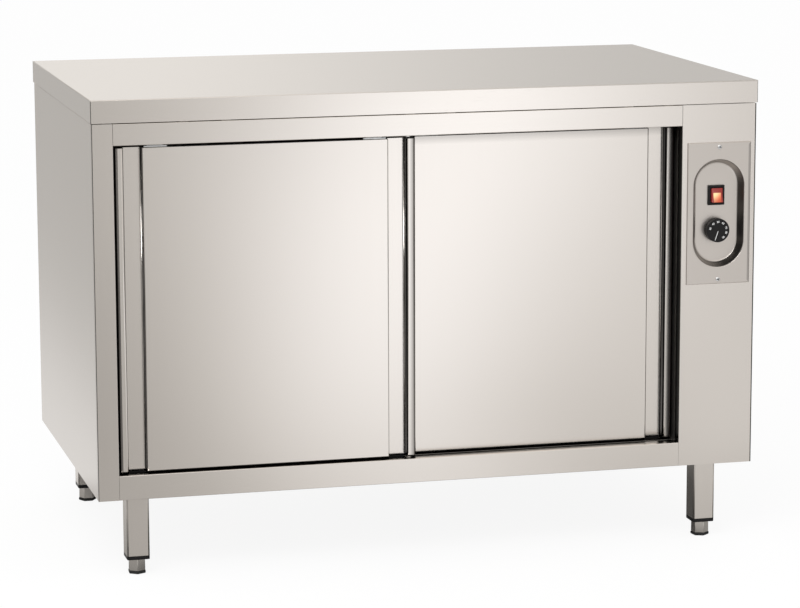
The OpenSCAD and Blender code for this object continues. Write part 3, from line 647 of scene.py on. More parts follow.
def round_edges(bm, edges, radius, steps):
    """Rounds edges, and shades the new faces smoothly."""
    edges = [e for e in edges if e.is_valid]
    if not edges or radius <= 0.0:
        return []
    made = bmesh.ops.bevel(
        bm,
        geom=edges,
        offset=radius,
        offset_type="OFFSET",
        affect="EDGES",
        segments=steps,
        profile=0.5,
        material=-1,
        clamp_overlap=True,
    )
    for face in made["faces"]:
        face.smooth = True
    return made["faces"]


def mark_shaded(bm, faces, amount):
    """Marks faces, which the finish then darkens."""
    layer = bm.faces.layers.float[SHADED]
    for face in faces:
        face[layer] = amount


def turn(bm, verts, centre, axis, degrees):
    """Turns vertices about a point."""
    bmesh.ops.rotate(
        bm, cent=centre, matrix=Matrix.Rotation(math.radians(degrees), 3, axis), verts=verts
    )


def make_piece(name, bm, body, finish, replaced=(), outward=True, wall=0.0, even=True):
    """Turns a mesh in millimetres into a piece that rides on a body."""
    if outward:
        bmesh.ops.recalc_face_normals(bm, faces=bm.faces)
    bm.normal_update()
    for edge in bm.edges:
        if len(edge.link_faces) == 2 and edge.calc_face_angle(0.0) > SHARP:
            edge.smooth = False
    bmesh.ops.scale(bm, vec=(0.001, 0.001, 0.001), verts=bm.verts)
    mesh = bpy.data.meshes.new(name)
    bm.to_mesh(mesh)
    bm.free()
    piece = bpy.data.objects.new(name, mesh)
    bpy.context.scene.collection.objects.link(piece)
    mesh.materials.append(FINISHES[finish])
    if wall:
        shell = piece.modifiers.new("wall", "SOLIDIFY")
        shell.thickness = wall / 1000.0
        shell.offset = -1.0
        shell.use_even_offset = even
    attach(piece, body)
    if replaced:
        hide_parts(*replaced)
    return piece


def copy_of_node(node):
    """A CAD node's mesh with its triangles joined into flat faces."""
    bm = bmesh.new()
    bm.from_mesh(frame["nodes"][node].data)
    bm.faces.layers.float.new(SHADED)
    bmesh.ops.scale(bm, vec=(1000.0, 1000.0, 1000.0), verts=bm.verts)
    bmesh.ops.remove_doubles(bm, verts=bm.verts, dist=0.002)
    bmesh.ops.dissolve_limit(
        bm, angle_limit=math.radians(0.5), verts=bm.verts, edges=bm.edges, delimit=set()
    )
    for face in bm.faces:
        face.smooth = False
    return bm


def sharp_edges(bm):
    """Edges where two faces meet at a clear angle."""
    least = math.radians(40.0)
    return [e for e in bm.edges if len(e.link_faces) == 2 and e.calc_face_angle(0.0) > least]


def eased_panel(node, finish, bend_axis, bend_at, bend=None, shaded=0.0):
    """A sheet panel like its CAD node, with round bends on one face and eased cut edges."""
    sizes = settings("sheet")
    bm = copy_of_node(node)
    bends = [e for e in sharp_edges(bm) if at(e, bend_axis, bend_at)]
    round_edges(bm, bends, mm(sizes.bend) if bend is None else bend, 4)
    cuts = [e for e in sharp_edges(bm) if e.calc_length() > 2.0]
    round_edges(bm, cuts, mm(sizes.cut_edge), 1)
    # the whole panel gets the given painted shade
    mark_shaded(bm, bm.faces, shaded)
    body = frame["nodes"][node]["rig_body"]
    return make_piece(node + "_sheet", bm, body, finish, [node], outward=False)


# ---- worktop ----


def make_worktop():
    """The worktop: pressed sheet with folded edges, hemmed underneath."""
    low, high = span("worktop")
    bm = copy_of_node("worktop")

    def outside(edge):
        """Whether an edge lies on one of the four sides."""
        return any(at(edge, axis, end[axis]) for axis in (0, 1) for end in (low, high))

    folds = [e for e in sharp_edges(bm) if outside(e) and at(e, 2, high.z)]
    round_edges(bm, folds, mm(settings("sheet").top_bend), 5)
    # the upright corners are rounded and get a dark line of painted shade
    corners = [e for e in sharp_edges(bm) if along(e, 2) and e.calc_length() > 30.0]
    corners = [e for e in corners if at(e, 0, low.x) or at(e, 0, high.x)]
    mark_shaded(bm, round_edges(bm, corners, 1.1, 3), FOLD_DARK)
    hems = [e for e in sharp_edges(bm) if outside(e) and at(e, 2, low.z) and e.calc_length() > 500.0]
    round_edges(bm, hems, 1.0, 4)
    make_piece(
        "worktop_sheet", bm, "cabinet", "worktop", ["worktop"], outward=False
    )


# ---- body ----


# the air slots of the right side
SLOTS = 8
SLOT_PITCH, SLOT_HEIGHT, SLOT_LENGTH = 14.0, 6.0, 140.0
SLOTS_ABOVE_FOOT, SLOTS_Y = 60.0, 32.15


def cut_air_slots(bm, foot):
    """Cuts the air slots through a side's sheet, and gives them their walls."""
    bottoms = [foot + SLOTS_ABOVE_FOOT + SLOT_PITCH * count for count in range(SLOTS)]
    for z in bottoms:
        cut_across(bm, (0, 0, z), (0, 0, 1))
        cut_across(bm, (0, 0, z + SLOT_HEIGHT), (0, 0, 1))
    for end in (-1, 1):
        cut_across(bm, (0, SLOTS_Y + end * SLOT_LENGTH / 2.0, 0), (0, 1, 0))
    rims = []
    for z in bottoms:
        both = [
            f
            for f in bm.faces
            if abs(f.normal.x) > 0.9
            and abs(middle(f).y - SLOTS_Y) < 1.0
            and abs(middle(f).z - z - SLOT_HEIGHT / 2.0) < 1.0
        ]
        rims.append([e for f in both for e in f.edges])
        bmesh.ops.delete(bm, geom=both, context="FACES_ONLY")
    for rim in rims:
        bmesh.ops.bridge_loops(bm, edges=rim)


def side_panel(node, side):
    """A side panel with its front edge turned in behind a dark seam, and its folds."""
    low, high = span(node)
    outer = high.x if side > 0 else low.x
    seam, turned_in, gap = 1.4, 20.0, 0.4
    front = BODY_FRONT + seam
    inner_z, top_z = low.z + 2.0 * SHEET, high.z - 1.5
    bm = start_mesh()

    def leaf(depth_in, y0, y1, z0, z1, depth_out=gap):
        """A block between two distances in from the outer face."""
        xs = sorted((outer - side * depth_in, outer - side * depth_out))
        block(bm, (xs[0], y0, z0), (xs[1], y1, z1))

    leaf(SHEET, front, high.y, low.z, high.z, 0.0)
    if side > 0:
        cut_air_slots(bm, low.z)
    bends = [e for e in sharp_edges(bm) if at(e, 0, outer) and e.calc_length() > 200.0]
    round_edges(bm, bends, 0.5, 2)
    # the flanges in front, above, below and behind, and the strip that joins the front one on
    leaf(turned_in, front + 5.5, front + 5.5 + SHEET, inner_z, top_z, 0.0)
    leaf(turned_in, front + 1.0, high.y, high.z - SHEET, high.z - 0.01)
    leaf(turned_in, front + 1.0, high.y - SHEET, low.z + SHEET, inner_z)
    leaf(turned_in, high.y - 2.0 * SHEET, high.y - SHEET, low.z + SHEET, high.z - 0.5)
    leaf(SHEET + 0.3, front + 1.0, front + 6.0, inner_z, top_z, 0.6)
    make_piece(node + "_sheet", bm, "cabinet", "side", [node])


def front_panel(node, corner=None, dark=FOLD_DARK, dark_width=0.0):
    """A front panel of the body; at the body's corner its outer fold gets painted shade as a dark line.

    The painted dark line is as wide as the fold, or reaches dark_width in from the corner at the right;
    the return flanges get painted shade as well.
    """
    front = span(node)[0].y
    bm = copy_of_node(node)
    bends = [e for e in sharp_edges(bm) if at(e, 1, front) and e.calc_length() > 300.0]
    if corner is None:
        round_edges(bm, bends, mm(settings("sheet").bend), 4)
    else:
        round_edges(bm, [e for e in bends if not at(e, 0, corner)], 0.5, 4)
        outer = [e for e in sharp_edges(bm) if at(e, 1, front) and at(e, 0, corner)]
        mark_shaded(bm, round_edges(bm, outer, 1.3, 4), dark)
    cuts = [e for e in sharp_edges(bm) if e.calc_length() > 2.0]
    round_edges(bm, cuts, 0.12, 1)
    bm.normal_update()
    # the return flanges at the opening's edges lie in shade and get painted shade
    returns = [f for f in bm.faces if abs(f.normal.x) > 0.9 and middle(f).y > front + 1.0]
    mark_shaded(bm, returns, RETURN_DARK)
    # a wider dark line of painted shade along the front of the corner
    if dark_width:
        line = corner - dark_width
        cut_across(bm, (line, 0, 0), (1, 0, 0))
        bm.normal_update()
        mark_shaded(bm, [f for f in bm.faces if middle(f).x > line and f.normal.y < -0.5], dark)
    make_piece(node + "_sheet", bm, "cabinet", "front", [node], outward=False)


def make_body():
    """The folded panels of the body."""
    front_panel("header_rail")
    front_panel("sill_rail")
    front_panel("left_front_post", span("left_front_post")[0].x)
    # the column's corner gets a 2.4 mm wide dark line of painted shade
    front_panel("control_column_panel", span("control_column_panel")[1].x, 0.9, 2.4)
    side_panel("left_side_panel", -1.0)
    side_panel("right_side_panel", 1.0)
    for node, axis, end in (("back_panel", 1, 1), ("base_panel", 2, 0)):
        eased_panel(node, "front", axis, span(node)[end][axis])


# ---- doors ----


# a door's depth, the width of a bar and of a finger channel, and how near a channel's wall is
DOOR_DEPTH, BAR, CHANNEL, CHANNEL_DEPTH, WALL_NEAR = 20.0, 16.0, 32.0, 15.5, 2.4
PANEL_IN = BAR + CHANNEL
# how far in from the door's edges the bars are cut for their painted shade, and how much painted shade
# the left edge gets
BAR_CUTS = (6.0, 8.0, 10.0)
LEFT_EDGE_DARK = 0.7
# the strip below the header gets a painted shadow, darkened in steps
SHADOW_STEP, SHADOW_MOST, SHADOW_START = 2.0, 0.29, 0.36


def bar_shade(across, least, power):
    """How much painted shade the right bar gets at a share of its width, which turns away from the
    light.
    """
    lit = 0.3
    turned_away = max(0.0, (across - lit) / (1.0 - lit))
    return min(0.97, 1.0 - (1.0 - least) * (1.0 - turned_away) ** power)


def fold_door_sheet(bm, low, high):
    """Folds a door's sheet to a panel between two bars and two finger channels."""
    sizes = settings("sheet")
    width, deep = high.x - low.x, CHANNEL_DEPTH
    half = [(0, DOOR_DEPTH), (0, 0), (BAR, 0), (BAR, deep), (PANEL_IN, deep), (PANEL_IN, 0)]
    section = half + [(width - x, y) for x, y in reversed(half)]
    corners = [bm.verts.new((low.x + x, low.y + y, low.z)) for x, y in section]
    line = [bm.edges.new(pair) for pair in zip(corners, corners[1:])]
    bmesh.ops.translate(bm, vec=(0, 0, high.z - low.z), verts=drawn_out(bm, line)[0])
    upright = [e for e in bm.edges if along(e, 2) and len(e.link_faces) == 2]
    outer = [e for e in upright if at(e, 1, low.y)]
    inner = [e for e in upright if at(e, 1, low.y + deep)]
    bars = [e for e in outer if min(e.verts[0].co.x - low.x, high.x - e.verts[0].co.x) < BAR + 0.1]
    round_edges(bm, bars, mm(sizes.bar_bend), 8)
    round_edges(bm, [e for e in outer if e not in bars], mm(sizes.door_bend), 5)
    round_edges(bm, inner, mm(sizes.channel_bend), 3)


def shade_door_sheet(bm, low, high, bar_ends, header_shadow):
    """Marks painted shade on the channels' walls and the bars, and a painted shadow on the strip below
    the header.
    """
    for step in range(header_shadow):
        cut_across(bm, (0, 0, high.z - SHADOW_STEP * (step + 1)), (0, 0, 1))
    for place in BAR_CUTS:
        cut_across(bm, (low.x + place, 0, 0), (1, 0, 0))
        cut_across(bm, (high.x - place, 0, 0), (1, 0, 0))
    bm.normal_update()
    for face in bm.faces:
        place = middle(face)
        from_left, from_right = place.x - low.x, high.x - place.x
        edge_in = min(from_left, from_right)
        near_wall = min(abs(edge_in - BAR), abs(edge_in - PANEL_IN)) < WALL_NEAR
        steep = abs(face.normal.x) > (0.9 if from_left < BAR else 0.35)
        amount = 0.0
        if near_wall and steep and place.y > low.y + 0.3:
            amount = CHANNEL_DARK
        elif from_left < BAR_CUTS[0]:
            amount = LEFT_EDGE_DARK
        elif from_right < BAR:
            amount = bar_shade(1.0 - from_right / BAR, *bar_ends)
        down = (high.z - place.z) / SHADOW_STEP
        if down < header_shadow:
            shadow = min(SHADOW_MOST, SHADOW_START * (1.0 - down / header_shadow))
            amount = 1.0 - (1.0 - amount) * (1.0 - shadow)
        mark_shaded(bm, [face], amount)


def close_door_ends(bm, low, high):
    """Closes the upper and lower ends of the middle panel and of the bars."""
    near = 0.01
    deepest = low.y + CHANNEL_DEPTH - mm(settings("sheet").channel_bend) + near
    spans = [(low.x + PANEL_IN, high.x - PANEL_IN), (low.x, low.x + BAR), (high.x - BAR, high.x)]
    for z in (low.z, high.z):
        for left, right in spans:
            ring = [
                e
                for e in bm.edges
                if e.is_boundary
                and at(e, 2, z)
                and all(left - near <= v.co.x <= right + near and v.co.y < deepest for v in e.verts)
            ]
            cap = bmesh.ops.contextual_create(bm, geom=ring)["faces"]
            fold = [e for e in cap[0].edges if len(e.link_faces) == 2]
            # the ends and their folds lie in shade and get painted shade
            mark_shaded(bm, cap, END_DARK)
            mark_shaded(bm, round_edges(bm, fold, 0.9, 2), END_DARK)


def folded_door(side, bar_ends, header_shadow):
    """A door's outer skin: one folded sheet with closed ends."""
    node = side + "_door_outer_skin"
    low, high = span(node)
    bm = start_mesh()
    fold_door_sheet(bm, low, high)
    shade_door_sheet(bm, low, high, bar_ends, header_shadow)
    close_door_ends(bm, low, high)
    bmesh.ops.recalc_face_normals(bm, faces=bm.faces)
    if max(bm.faces, key=lambda f: f.calc_area()).normal.y > 0:
        bmesh.ops.reverse_faces(bm, faces=bm.faces)
    make_piece(
        side + "_door_skin", bm, side + "_door", "door", [node],
        outward=False, wall=SHEET,
    )


def make_doors():
    """Both sliding doors; the right one lies deeper and gets a painted shadow below the header."""
    folded_door("left", (0.0, 0.8), 0)
    folded_door("right", (0.15, 2.0), 8)


# ---- control plate ----


def stadium(bm, centre, radius, straight):
    """A face with straight sides and round ends, facing the front."""
    ring = bmesh.ops.create_circle(bm, cap_ends=True, radius=radius, segments=64)["verts"]
    turn(bm, ring, (0, 0, 0), "X", 90.0)
    upper = [v for v in ring if v.co.z > 0.001]
    lower = [v for v in ring if v.co.z < -0.001]
    level = [v for v in ring if abs(v.co.z) <= 0.001]
    bmesh.ops.translate(bm, vec=(0, 0, straight / 2.0), verts=upper + level)
    bmesh.ops.translate(bm, vec=(0, 0, -straight / 2.0), verts=lower)
    face = faces_of(ring)[0]
    # the two level corners get a twin at the lower end of the straight sides
    for vert in level:
        edge = next(e for e in vert.link_edges if e.calc_length() > straight / 2.0)
        share_down = straight / edge.calc_length()
        twin = bmesh.utils.edge_split(edge, vert, share_down)[1]
        twin.co = (vert.co.x, vert.co.y, vert.co.z - straight)
        ring.append(twin)
    bmesh.ops.translate(bm, vec=centre, verts=ring)
    if face.normal.y > 0:
        face.normal_flip()
    return face


def inset(bm, face, thickness, depth=0.0):
    """Sets a face in, and gives the edges round the ring of faces that this makes."""
    made = bmesh.ops.inset_region(
        bm,
        faces=[face],
        thickness=thickness,
        depth=depth,
        use_even_offset=True,
        use_boundary=True,
    )
    ring = set(made["faces"])
    edges = [e for f in ring for e in f.edges if face not in e.link_faces]
    return [e for e in edges if sum(f in ring for f in e.link_faces) == 1]


def face_front(bm):
    """Turns every face of an open pressing towards the front."""
    bm.normal_update()
    bmesh.ops.reverse_faces(bm, faces=[f for f in bm.faces if f.normal.y > 0.0])
    bm.normal_update()


# the dish's outline, and how wide its flat lip, its wall and the turn of its floor are
DISH_RADIUS, DISH_STRAIGHT = 51.0, 99.0
DISH_LIP, DISH_WALL, DISH_TURN = 3.5, 6.5, 5.0
# half the cut-out for the switch, the spindle's hole, and the plate's plain margin and skirt
CUT_OUT_X, CUT_OUT_Z, SPINDLE_HOLE = 13.5, 16.5, 5.5
MARGIN, SKIRT = 5.0, 1.0
FOUR_CORNERS = ((-1, -1), (1, -1), (1, 1), (-1, 1))


def fill_dish_floor(bm, face):
    """Remakes the dish's floor with the cut-out for the switch and the spindle's hole."""
    switch, knob = centre_of("switch_housing"), centre_of("thermostat_knob")
    cut_out = [
        (switch.x + x * CUT_OUT_X, DISH_FLOOR, switch.z + z * CUT_OUT_Z) for x, z in FOUR_CORNERS
    ]
    cut_out = closed_loop(bm, cut_out)
    hole = bmesh.ops.create_circle(bm, radius=SPINDLE_HOLE, segments=24)["verts"]
    turn(bm, hole, (0, 0, 0), "X", 90.0)
    bmesh.ops.translate(bm, vec=(knob.x, DISH_FLOOR, knob.z), verts=hole)
    outline = list(face.edges)
    bmesh.ops.delete(bm, geom=[face], context="FACES_ONLY")
    bmesh.ops.triangle_fill(bm, use_beauty=True, edges=outline + cut_out + edges_of(hole))


def fold_plate(bm, low, high, lip_edges):
    """Fills the plate's face round the dish and folds its skirt back; the fold's edges."""
    centre, half = (low + high) / 2.0, (high - low) / 2.0
    outline = [
        (centre.x + x * (half.x - MARGIN), low.y, centre.z + z * (half.z - MARGIN))
        for x, z in FOUR_CORNERS
    ]
    outline = closed_loop(bm, outline)
    bmesh.ops.triangle_fill(bm, use_beauty=True, edges=lip_edges + outline)
    folds = []
    for out, y in ((MARGIN - SKIRT, low.y), (SKIRT, BODY_FRONT)):
        moved = drawn_out(bm, outline)[0]
        for vert in moved:
            vert.co.x += out if vert.co.x > centre.x else -out
            vert.co.z += out if vert.co.z > centre.z else -out
            vert.co.y = y
        outline = edges_of(moved)
        folds = folds or outline
    return folds


def make_control_plate():
    """The raised plate with its pressed dish."""
    low, high = span("control_plate")
    centre = centre_of("control_plate")
    sizes = settings("controls")
    bm = start_mesh()
    face = stadium(bm, (centre.x, low.y, centre.z), DISH_RADIUS, DISH_STRAIGHT)
    lip_edges = inset(bm, face, DISH_LIP)
    rim_edges = inset(bm, face, DISH_WALL, low.y - DISH_FLOOR)
    floor_edges = inset(bm, face, DISH_TURN)
    fill_dish_floor(bm, face)
    folds = fold_plate(bm, low, high, lip_edges)
    face_front(bm)
    wall = [f for f in bm.faces if low.y + 0.5 < middle(f).y < DISH_FLOOR - 0.5]
    wall = [f for f in wall if abs(middle(f).x - centre.x) < DISH_RADIUS]
    wall = [f for f in wall if abs(middle(f).z - centre.z) < DISH_RADIUS + DISH_STRAIGHT / 2.0]
    for part in wall:
        part.smooth = True
        # painted shade on the dish's wall, darkest where it looks up and to the left
        facing = max(0.0, 0.8 * part.normal.z - 0.9 * part.normal.x)
        mark_shaded(bm, [part], 0.30 + 0.60 * min(1.0, facing))
    made = round_edges(bm, rim_edges, mm(sizes.dish_rim), 4)
    bm.normal_update()
    # the rim's fold is cleared of the wall's painted shade, and its steep part gets a dark line of
    # painted shade
    mark_shaded(bm, made, 0.0)
    mark_shaded(bm, [f for f in made if abs(f.normal.y) < 0.75], FOLD_DARK)
    made = round_edges(bm, floor_edges, mm(sizes.dish_floor), 6)
    face_front(bm)
    # the floor's fold is cleared of painted shade where it faces the front
    mark_shaded(bm, [f for f in made if f.normal.y < -0.80], 0.0)
    # painted shade on the plate's right margin
    mark_shaded(bm, [f for f in bm.faces if middle(f).x > high.x - MARGIN + 1.0], 0.36)
    made = round_edges(bm, folds, 0.8, 3)
    bm.normal_update()
    # painted shade on the right side of the skirt's fold
    mark_shaded(bm, [f for f in made if abs(f.normal.x) > 0.2 and middle(f).x > centre.x], 0.6)
    face_front(bm)
    make_piece(
        "control_plate_pressing", bm, "cabinet", "plate",
        ["control_plate"], outward=False, wall=SHEET, even=False,
    )


# a screw head from its recess outwards: radius, and depth below the top of the head
SCREW_HEAD = [(3.1, 0.25), (3.65, 0.65), (4.0, 1.25), (4.0, 1.8), (1.7, 1.8)]
SCREW_TOP, RECESS_WIDE, RECESS_ARM, RECESS_DEPTH = 2.6, 0.62, 2.3, 1.4


def pan_screw(bm, length):
    """A pan head screw with a cross recess, pointing down; its vertices."""
    before = set(bm.verts)
    rim = edges_of(bmesh.ops.create_circle(bm, radius=SCREW_TOP, segments=32)["verts"])
    cross = []
    arm = [(RECESS_WIDE, RECESS_WIDE), (RECESS_WIDE, RECESS_ARM), (-RECESS_WIDE, RECESS_ARM)]
    for _ in range(4):
        cross += [(x, y, 0.0) for x, y in arm]
        arm = [(-y, x) for x, y in arm]
    recess = closed_loop(bm, cross)
    bmesh.ops.triangle_fill(bm, use_beauty=True, edges=rim + recess)
    floor = drawn_out(bm, recess)[0]
    bmesh.ops.translate(bm, vec=(0, 0, -RECESS_DEPTH), verts=floor)
    bmesh.ops.scale(bm, vec=(0.8, 0.8, 1.0), verts=floor)
    bmesh.ops.contextual_create(bm, geom=edges_of(floor))
    # painted shade in the cross recess
    mark_shaded(bm, {f for v in floor for f in v.link_faces}, 0.96)
    for radius, down in SCREW_HEAD + [(SCREW_HEAD[-1][0], length)]:
        moved, strip = drawn_out(bm, rim)
        rim = edges_of(moved)
        for vert in moved:
            flat = Vector((vert.co.x, vert.co.y, 0.0)).normalized() * radius
            vert.co = (flat.x, flat.y, -down)
        for part in strip:
            # the domed part of the head is smooth
            part.smooth = down <= SCREW_HEAD[2][1]
    bmesh.ops.contextual_create(bm, geom=rim)
    return [v for v in bm.verts if v not in before]


def make_plate_screws():
    """The two screws that hold the control plate."""
    low, high = span("control_plate_screws")
    radius = SCREW_HEAD[2][0]
    bm = start_mesh()
    for z, twist in ((low.z + radius, 20.0), (high.z - radius, -12.0)):
        screw = pan_screw(bm, high.y - low.y)
        turn(bm, screw, (0, 0, 0), "Z", twist)
        turn(bm, screw, (0, 0, 0), "X", 90.0)
        bmesh.ops.translate(bm, vec=((low.x + high.x) / 2.0, low.y, z), verts=screw)
    make_piece(
        "control_plate_pan_screws", bm, "cabinet", "zinc",
        ["control_plate_screws"],
    )


# ---- switch and knob ----

# the bezel's flat and lip, half its well and how deep that is
BEZEL_FLAT, BEZEL_LIP, BEZEL_STEP = 1.7, 0.4, 0.5
WELL_X, WELL_Z, WELL_DEPTH = 12.0, 15.0, 9.0
HOUSING_PLAY = 0.2
# the rocker about its pivot: its left, right, front, back, half its height, and its hollow face
ROCKER_LEFT, ROCKER_RIGHT, ROCKER_FRONT, ROCKER_BACK = -9.3, 11.4, -9.0, 3.0
ROCKER_HALF, ROCKER_TAPER, ROCKER_HOLLOW, ROCKER_DROP = 13.0, 3.0, 2.2, 1.4


def rocker_pivot():
    """The middle of the axis that the rocker tilts about."""
    place = centre_of("switch_housing")
    return Vector((place.x, ROCKER_PIVOT, place.z))


def make_switch_bezel():
    """The switch's bezel with its well, and the housing behind the plate."""
    low, high = span("switch_housing")
    centre = centre_of("switch_housing")
    bm = start_mesh()
    made = block(bm, low, (high.x, DISH_FLOOR, high.z))
    rounded = [e for e in edges_of(made) if at(e, 1, low.y) or along(e, 1)]
    round_edges(bm, rounded, mm(settings("controls").bezel_edge), 3)
    face = min(bm.faces, key=lambda f: middle(f).y)
    inset(bm, face, BEZEL_FLAT)
    inset(bm, face, BEZEL_LIP, -BEZEL_STEP)
    window = list(face.verts)
    for vert in window:
        vert.co.x = centre.x + (WELL_X if vert.co.x > centre.x else -WELL_X)
        vert.co.z = centre.z + (WELL_Z if vert.co.z > centre.z else -WELL_Z)
    bmesh.ops.remove_doubles(bm, verts=window, dist=0.3)
    wide = [f for f in bm.faces if abs(f.normal.y) > 0.9 and f.calc_area() > 600.0]
    face = min(wide, key=lambda f: middle(f).y)
    sunk = bmesh.ops.extrude_discrete_faces(bm, faces=[face])["faces"]
    bmesh.ops.translate(bm, vec=(0, WELL_DEPTH, 0), verts=list(sunk[0].verts))
    x, z = CUT_OUT_X - HOUSING_PLAY, CUT_OUT_Z - HOUSING_PLAY
    behind = DISH_FLOOR - 0.5
    block(bm, (centre.x - x, behind, centre.z - z), (centre.x + x, high.y, centre.z + z))
    make_piece("switch_bezel", bm, "cabinet", "black", ["switch_housing"])


def make_rocker():
    """The lit rocker: a clear red block with a hollow face, tilted on its pin."""
    bm = start_mesh()
    made = block(
        bm,
        (ROCKER_LEFT, ROCKER_FRONT, -ROCKER_HALF),
        (ROCKER_RIGHT, ROCKER_BACK, ROCKER_HALF),
    )
    taper = (ROCKER_HALF - ROCKER_TAPER) / ROCKER_HALF
    bmesh.ops.scale(bm, vec=(1.0, 1.0, taper), verts=[v for v in made if v.co.y > 0])
    for twelfth in range(-10, 11, 2):
        cut_across(bm, (0, 0, twelfth / 12.0 * ROCKER_HALF), (0, 0, 1))
    for vert in bm.verts:
        if vert.co.y < ROCKER_FRONT / 2.0:
            vert.co.y = ROCKER_FRONT + ROCKER_HOLLOW * (1.0 - (vert.co.z / ROCKER_HALF) ** 2)
    edges = sharp_edges(bm)
    round_edges(bm, [e for e in edges if all(v.co.y < -3.0 for v in e.verts)], 0.7, 3)
    for part in bm.faces:
        part.smooth = part.smooth or part.normal.y < -0.6
    verts = list(bm.verts)
    pivot = rocker_pivot()
    bmesh.ops.translate(bm, vec=(0, 0, -ROCKER_DROP), verts=verts)
    turn(bm, verts, (0, 0, 0), "X", -ROCKER_TILT)
    bmesh.ops.translate(bm, vec=pivot, verts=verts)
    crosswise = Matrix.Translation(pivot) @ Matrix.Rotation(math.radians(90), 4, "Y")
    bmesh.ops.create_cone(
        bm, cap_ends=True, radius1=1.5, radius2=1.5, depth=26.0, segments=16, matrix=crosswise
    )
    make_piece("switch_lens", bm, "power_switch_rocker", "lens", ["switch_rocker"])


# the knob from its face outwards: how far each step goes out and back; the fourth has the flutes
KNOB_STEPS = ((0.75, 0.25), (0.3, 0.75), (0.05, 1.4), (0.0, 9.4), (0.0, 1.2), (-1.0, 1.8))
KNOB_FACE_IN = 1.1
NUMERAL_ANGLES = (-75.0, -38.5, -2.5, 35.0, 71.5, 105.5, 141.0)
POINTER_ANGLE, POINTER_WIDTH, POINTER_START, INK = -161.4, 0.9, 1.2, 0.1


def make_knob():
    """The thermostat knob with its flutes, numerals and pointer."""
    low, high = span("thermostat_knob")
    sizes = settings("controls")
    face_middle = centre_of("thermostat_knob")
    face_middle.y = low.y
    radius = (high.x - low.x) / 2.0 - KNOB_FACE_IN
    bm = start_mesh()
    bmesh.ops.create_circle(bm, cap_ends=True, radius=radius, segments=2 * sizes.flutes)
    strips = []
    for out, back in KNOB_STEPS:
        moved, strip = drawn_out(bm, [e for e in bm.edges if e.is_boundary])
        for vert in moved:
            flat = Vector((vert.co.x, vert.co.y, 0.0))
            flat = flat.normalized() * (flat.length + out)
            vert.co = (flat.x, flat.y, vert.co.z - back)
        for part in strip:
            part.smooth = True
        strips.append(strip)
    bmesh.ops.contextual_create(bm, geom=[e for e in bm.edges if e.is_boundary])
    bmesh.ops.recalc_face_normals(bm, faces=bm.faces)
    columns = sorted(strips[3], key=lambda f: math.atan2(middle(f).y, middle(f).x))
    for part in columns:
        part.smooth = False
    bmesh.ops.inset_individual(
        bm, faces=columns[::2], thickness=0.22, depth=-0.55, use_even_offset=True
    )
    turn(bm, bm.verts, (0, 0, 0), "X", 90.0)
    bmesh.ops.translate(bm, vec=face_middle, verts=bm.verts)
    make_piece("thermostat_grip", bm, "thermostat_dial", "knob", ["thermostat_knob"])

    bm = start_mesh()
    for count, angle in enumerate(NUMERAL_ANGLES):
        made = numeral(bm, str(30 + 10 * count), mm(sizes.numeral))
        turn(bm, made, (0, 0, 0), "X", 90.0)
        bmesh.ops.translate(bm, vec=(0, 0, mm(sizes.numeral_ring)), verts=made)
        turn(bm, made, (0, 0, 0), "Y", angle)
    bmesh.ops.remove_doubles(bm, verts=bm.verts, dist=0.002)
    half, thick = POINTER_WIDTH / 2.0, INK / 2.0
    end = POINTER_START + mm(sizes.pointer)
    line = block(bm, (-half, -thick, POINTER_START), (half, thick, end))
    turn(bm, line, (0, 0, 0), "Y", POINTER_ANGLE)
    bmesh.ops.translate(bm, vec=(face_middle.x, low.y - 0.02, face_middle.z), verts=bm.verts)
    make_piece("thermostat_numerals", bm, "thermostat_dial", "print")


def numeral(bm, words, height):
    """Adds a numeral to a mesh, lying flat about the origin; its vertices."""
    text = bpy.data.curves.new("numeral", "FONT")
    text.body = words
    text.size = height
    text.align_x = "CENTER"
    text.align_y = "CENTER"
    text.extrude = INK / 2.0
    text.offset = 0.04
    text.resolution_u = 3
    holder = bpy.data.objects.new("numeral", text)
    bpy.context.scene.collection.objects.link(holder)
    bpy.context.view_layer.update()
    flat = bpy.data.meshes.new_from_object(holder)
    before = set(bm.verts)
    bm.from_mesh(flat)
    bpy.data.objects.remove(holder)
    bpy.data.curves.remove(text)
    bpy.data.meshes.remove(flat)
    return [v for v in bm.verts if v not in before]


# ---- legs and feet ----


LEG_SIDE, LEG_WALL = 40.0, 1.5
PLUG_HEAD, PLUG_IN = 7.0, 2.0
# the feet: half their width over the corners, the top of the six-sided part, the threaded stem,
# the pad's height, and how far each foot happens to be screwed round
FOOT_HALF, FOOT_TOP, STEM_RADIUS, PAD_HEIGHT = 16.0, 26.7, 5.0, 5.0
FOOT_TWIST = dict(zip(ENDS, (-94.7, -81.9, -62.0, -75.0)))


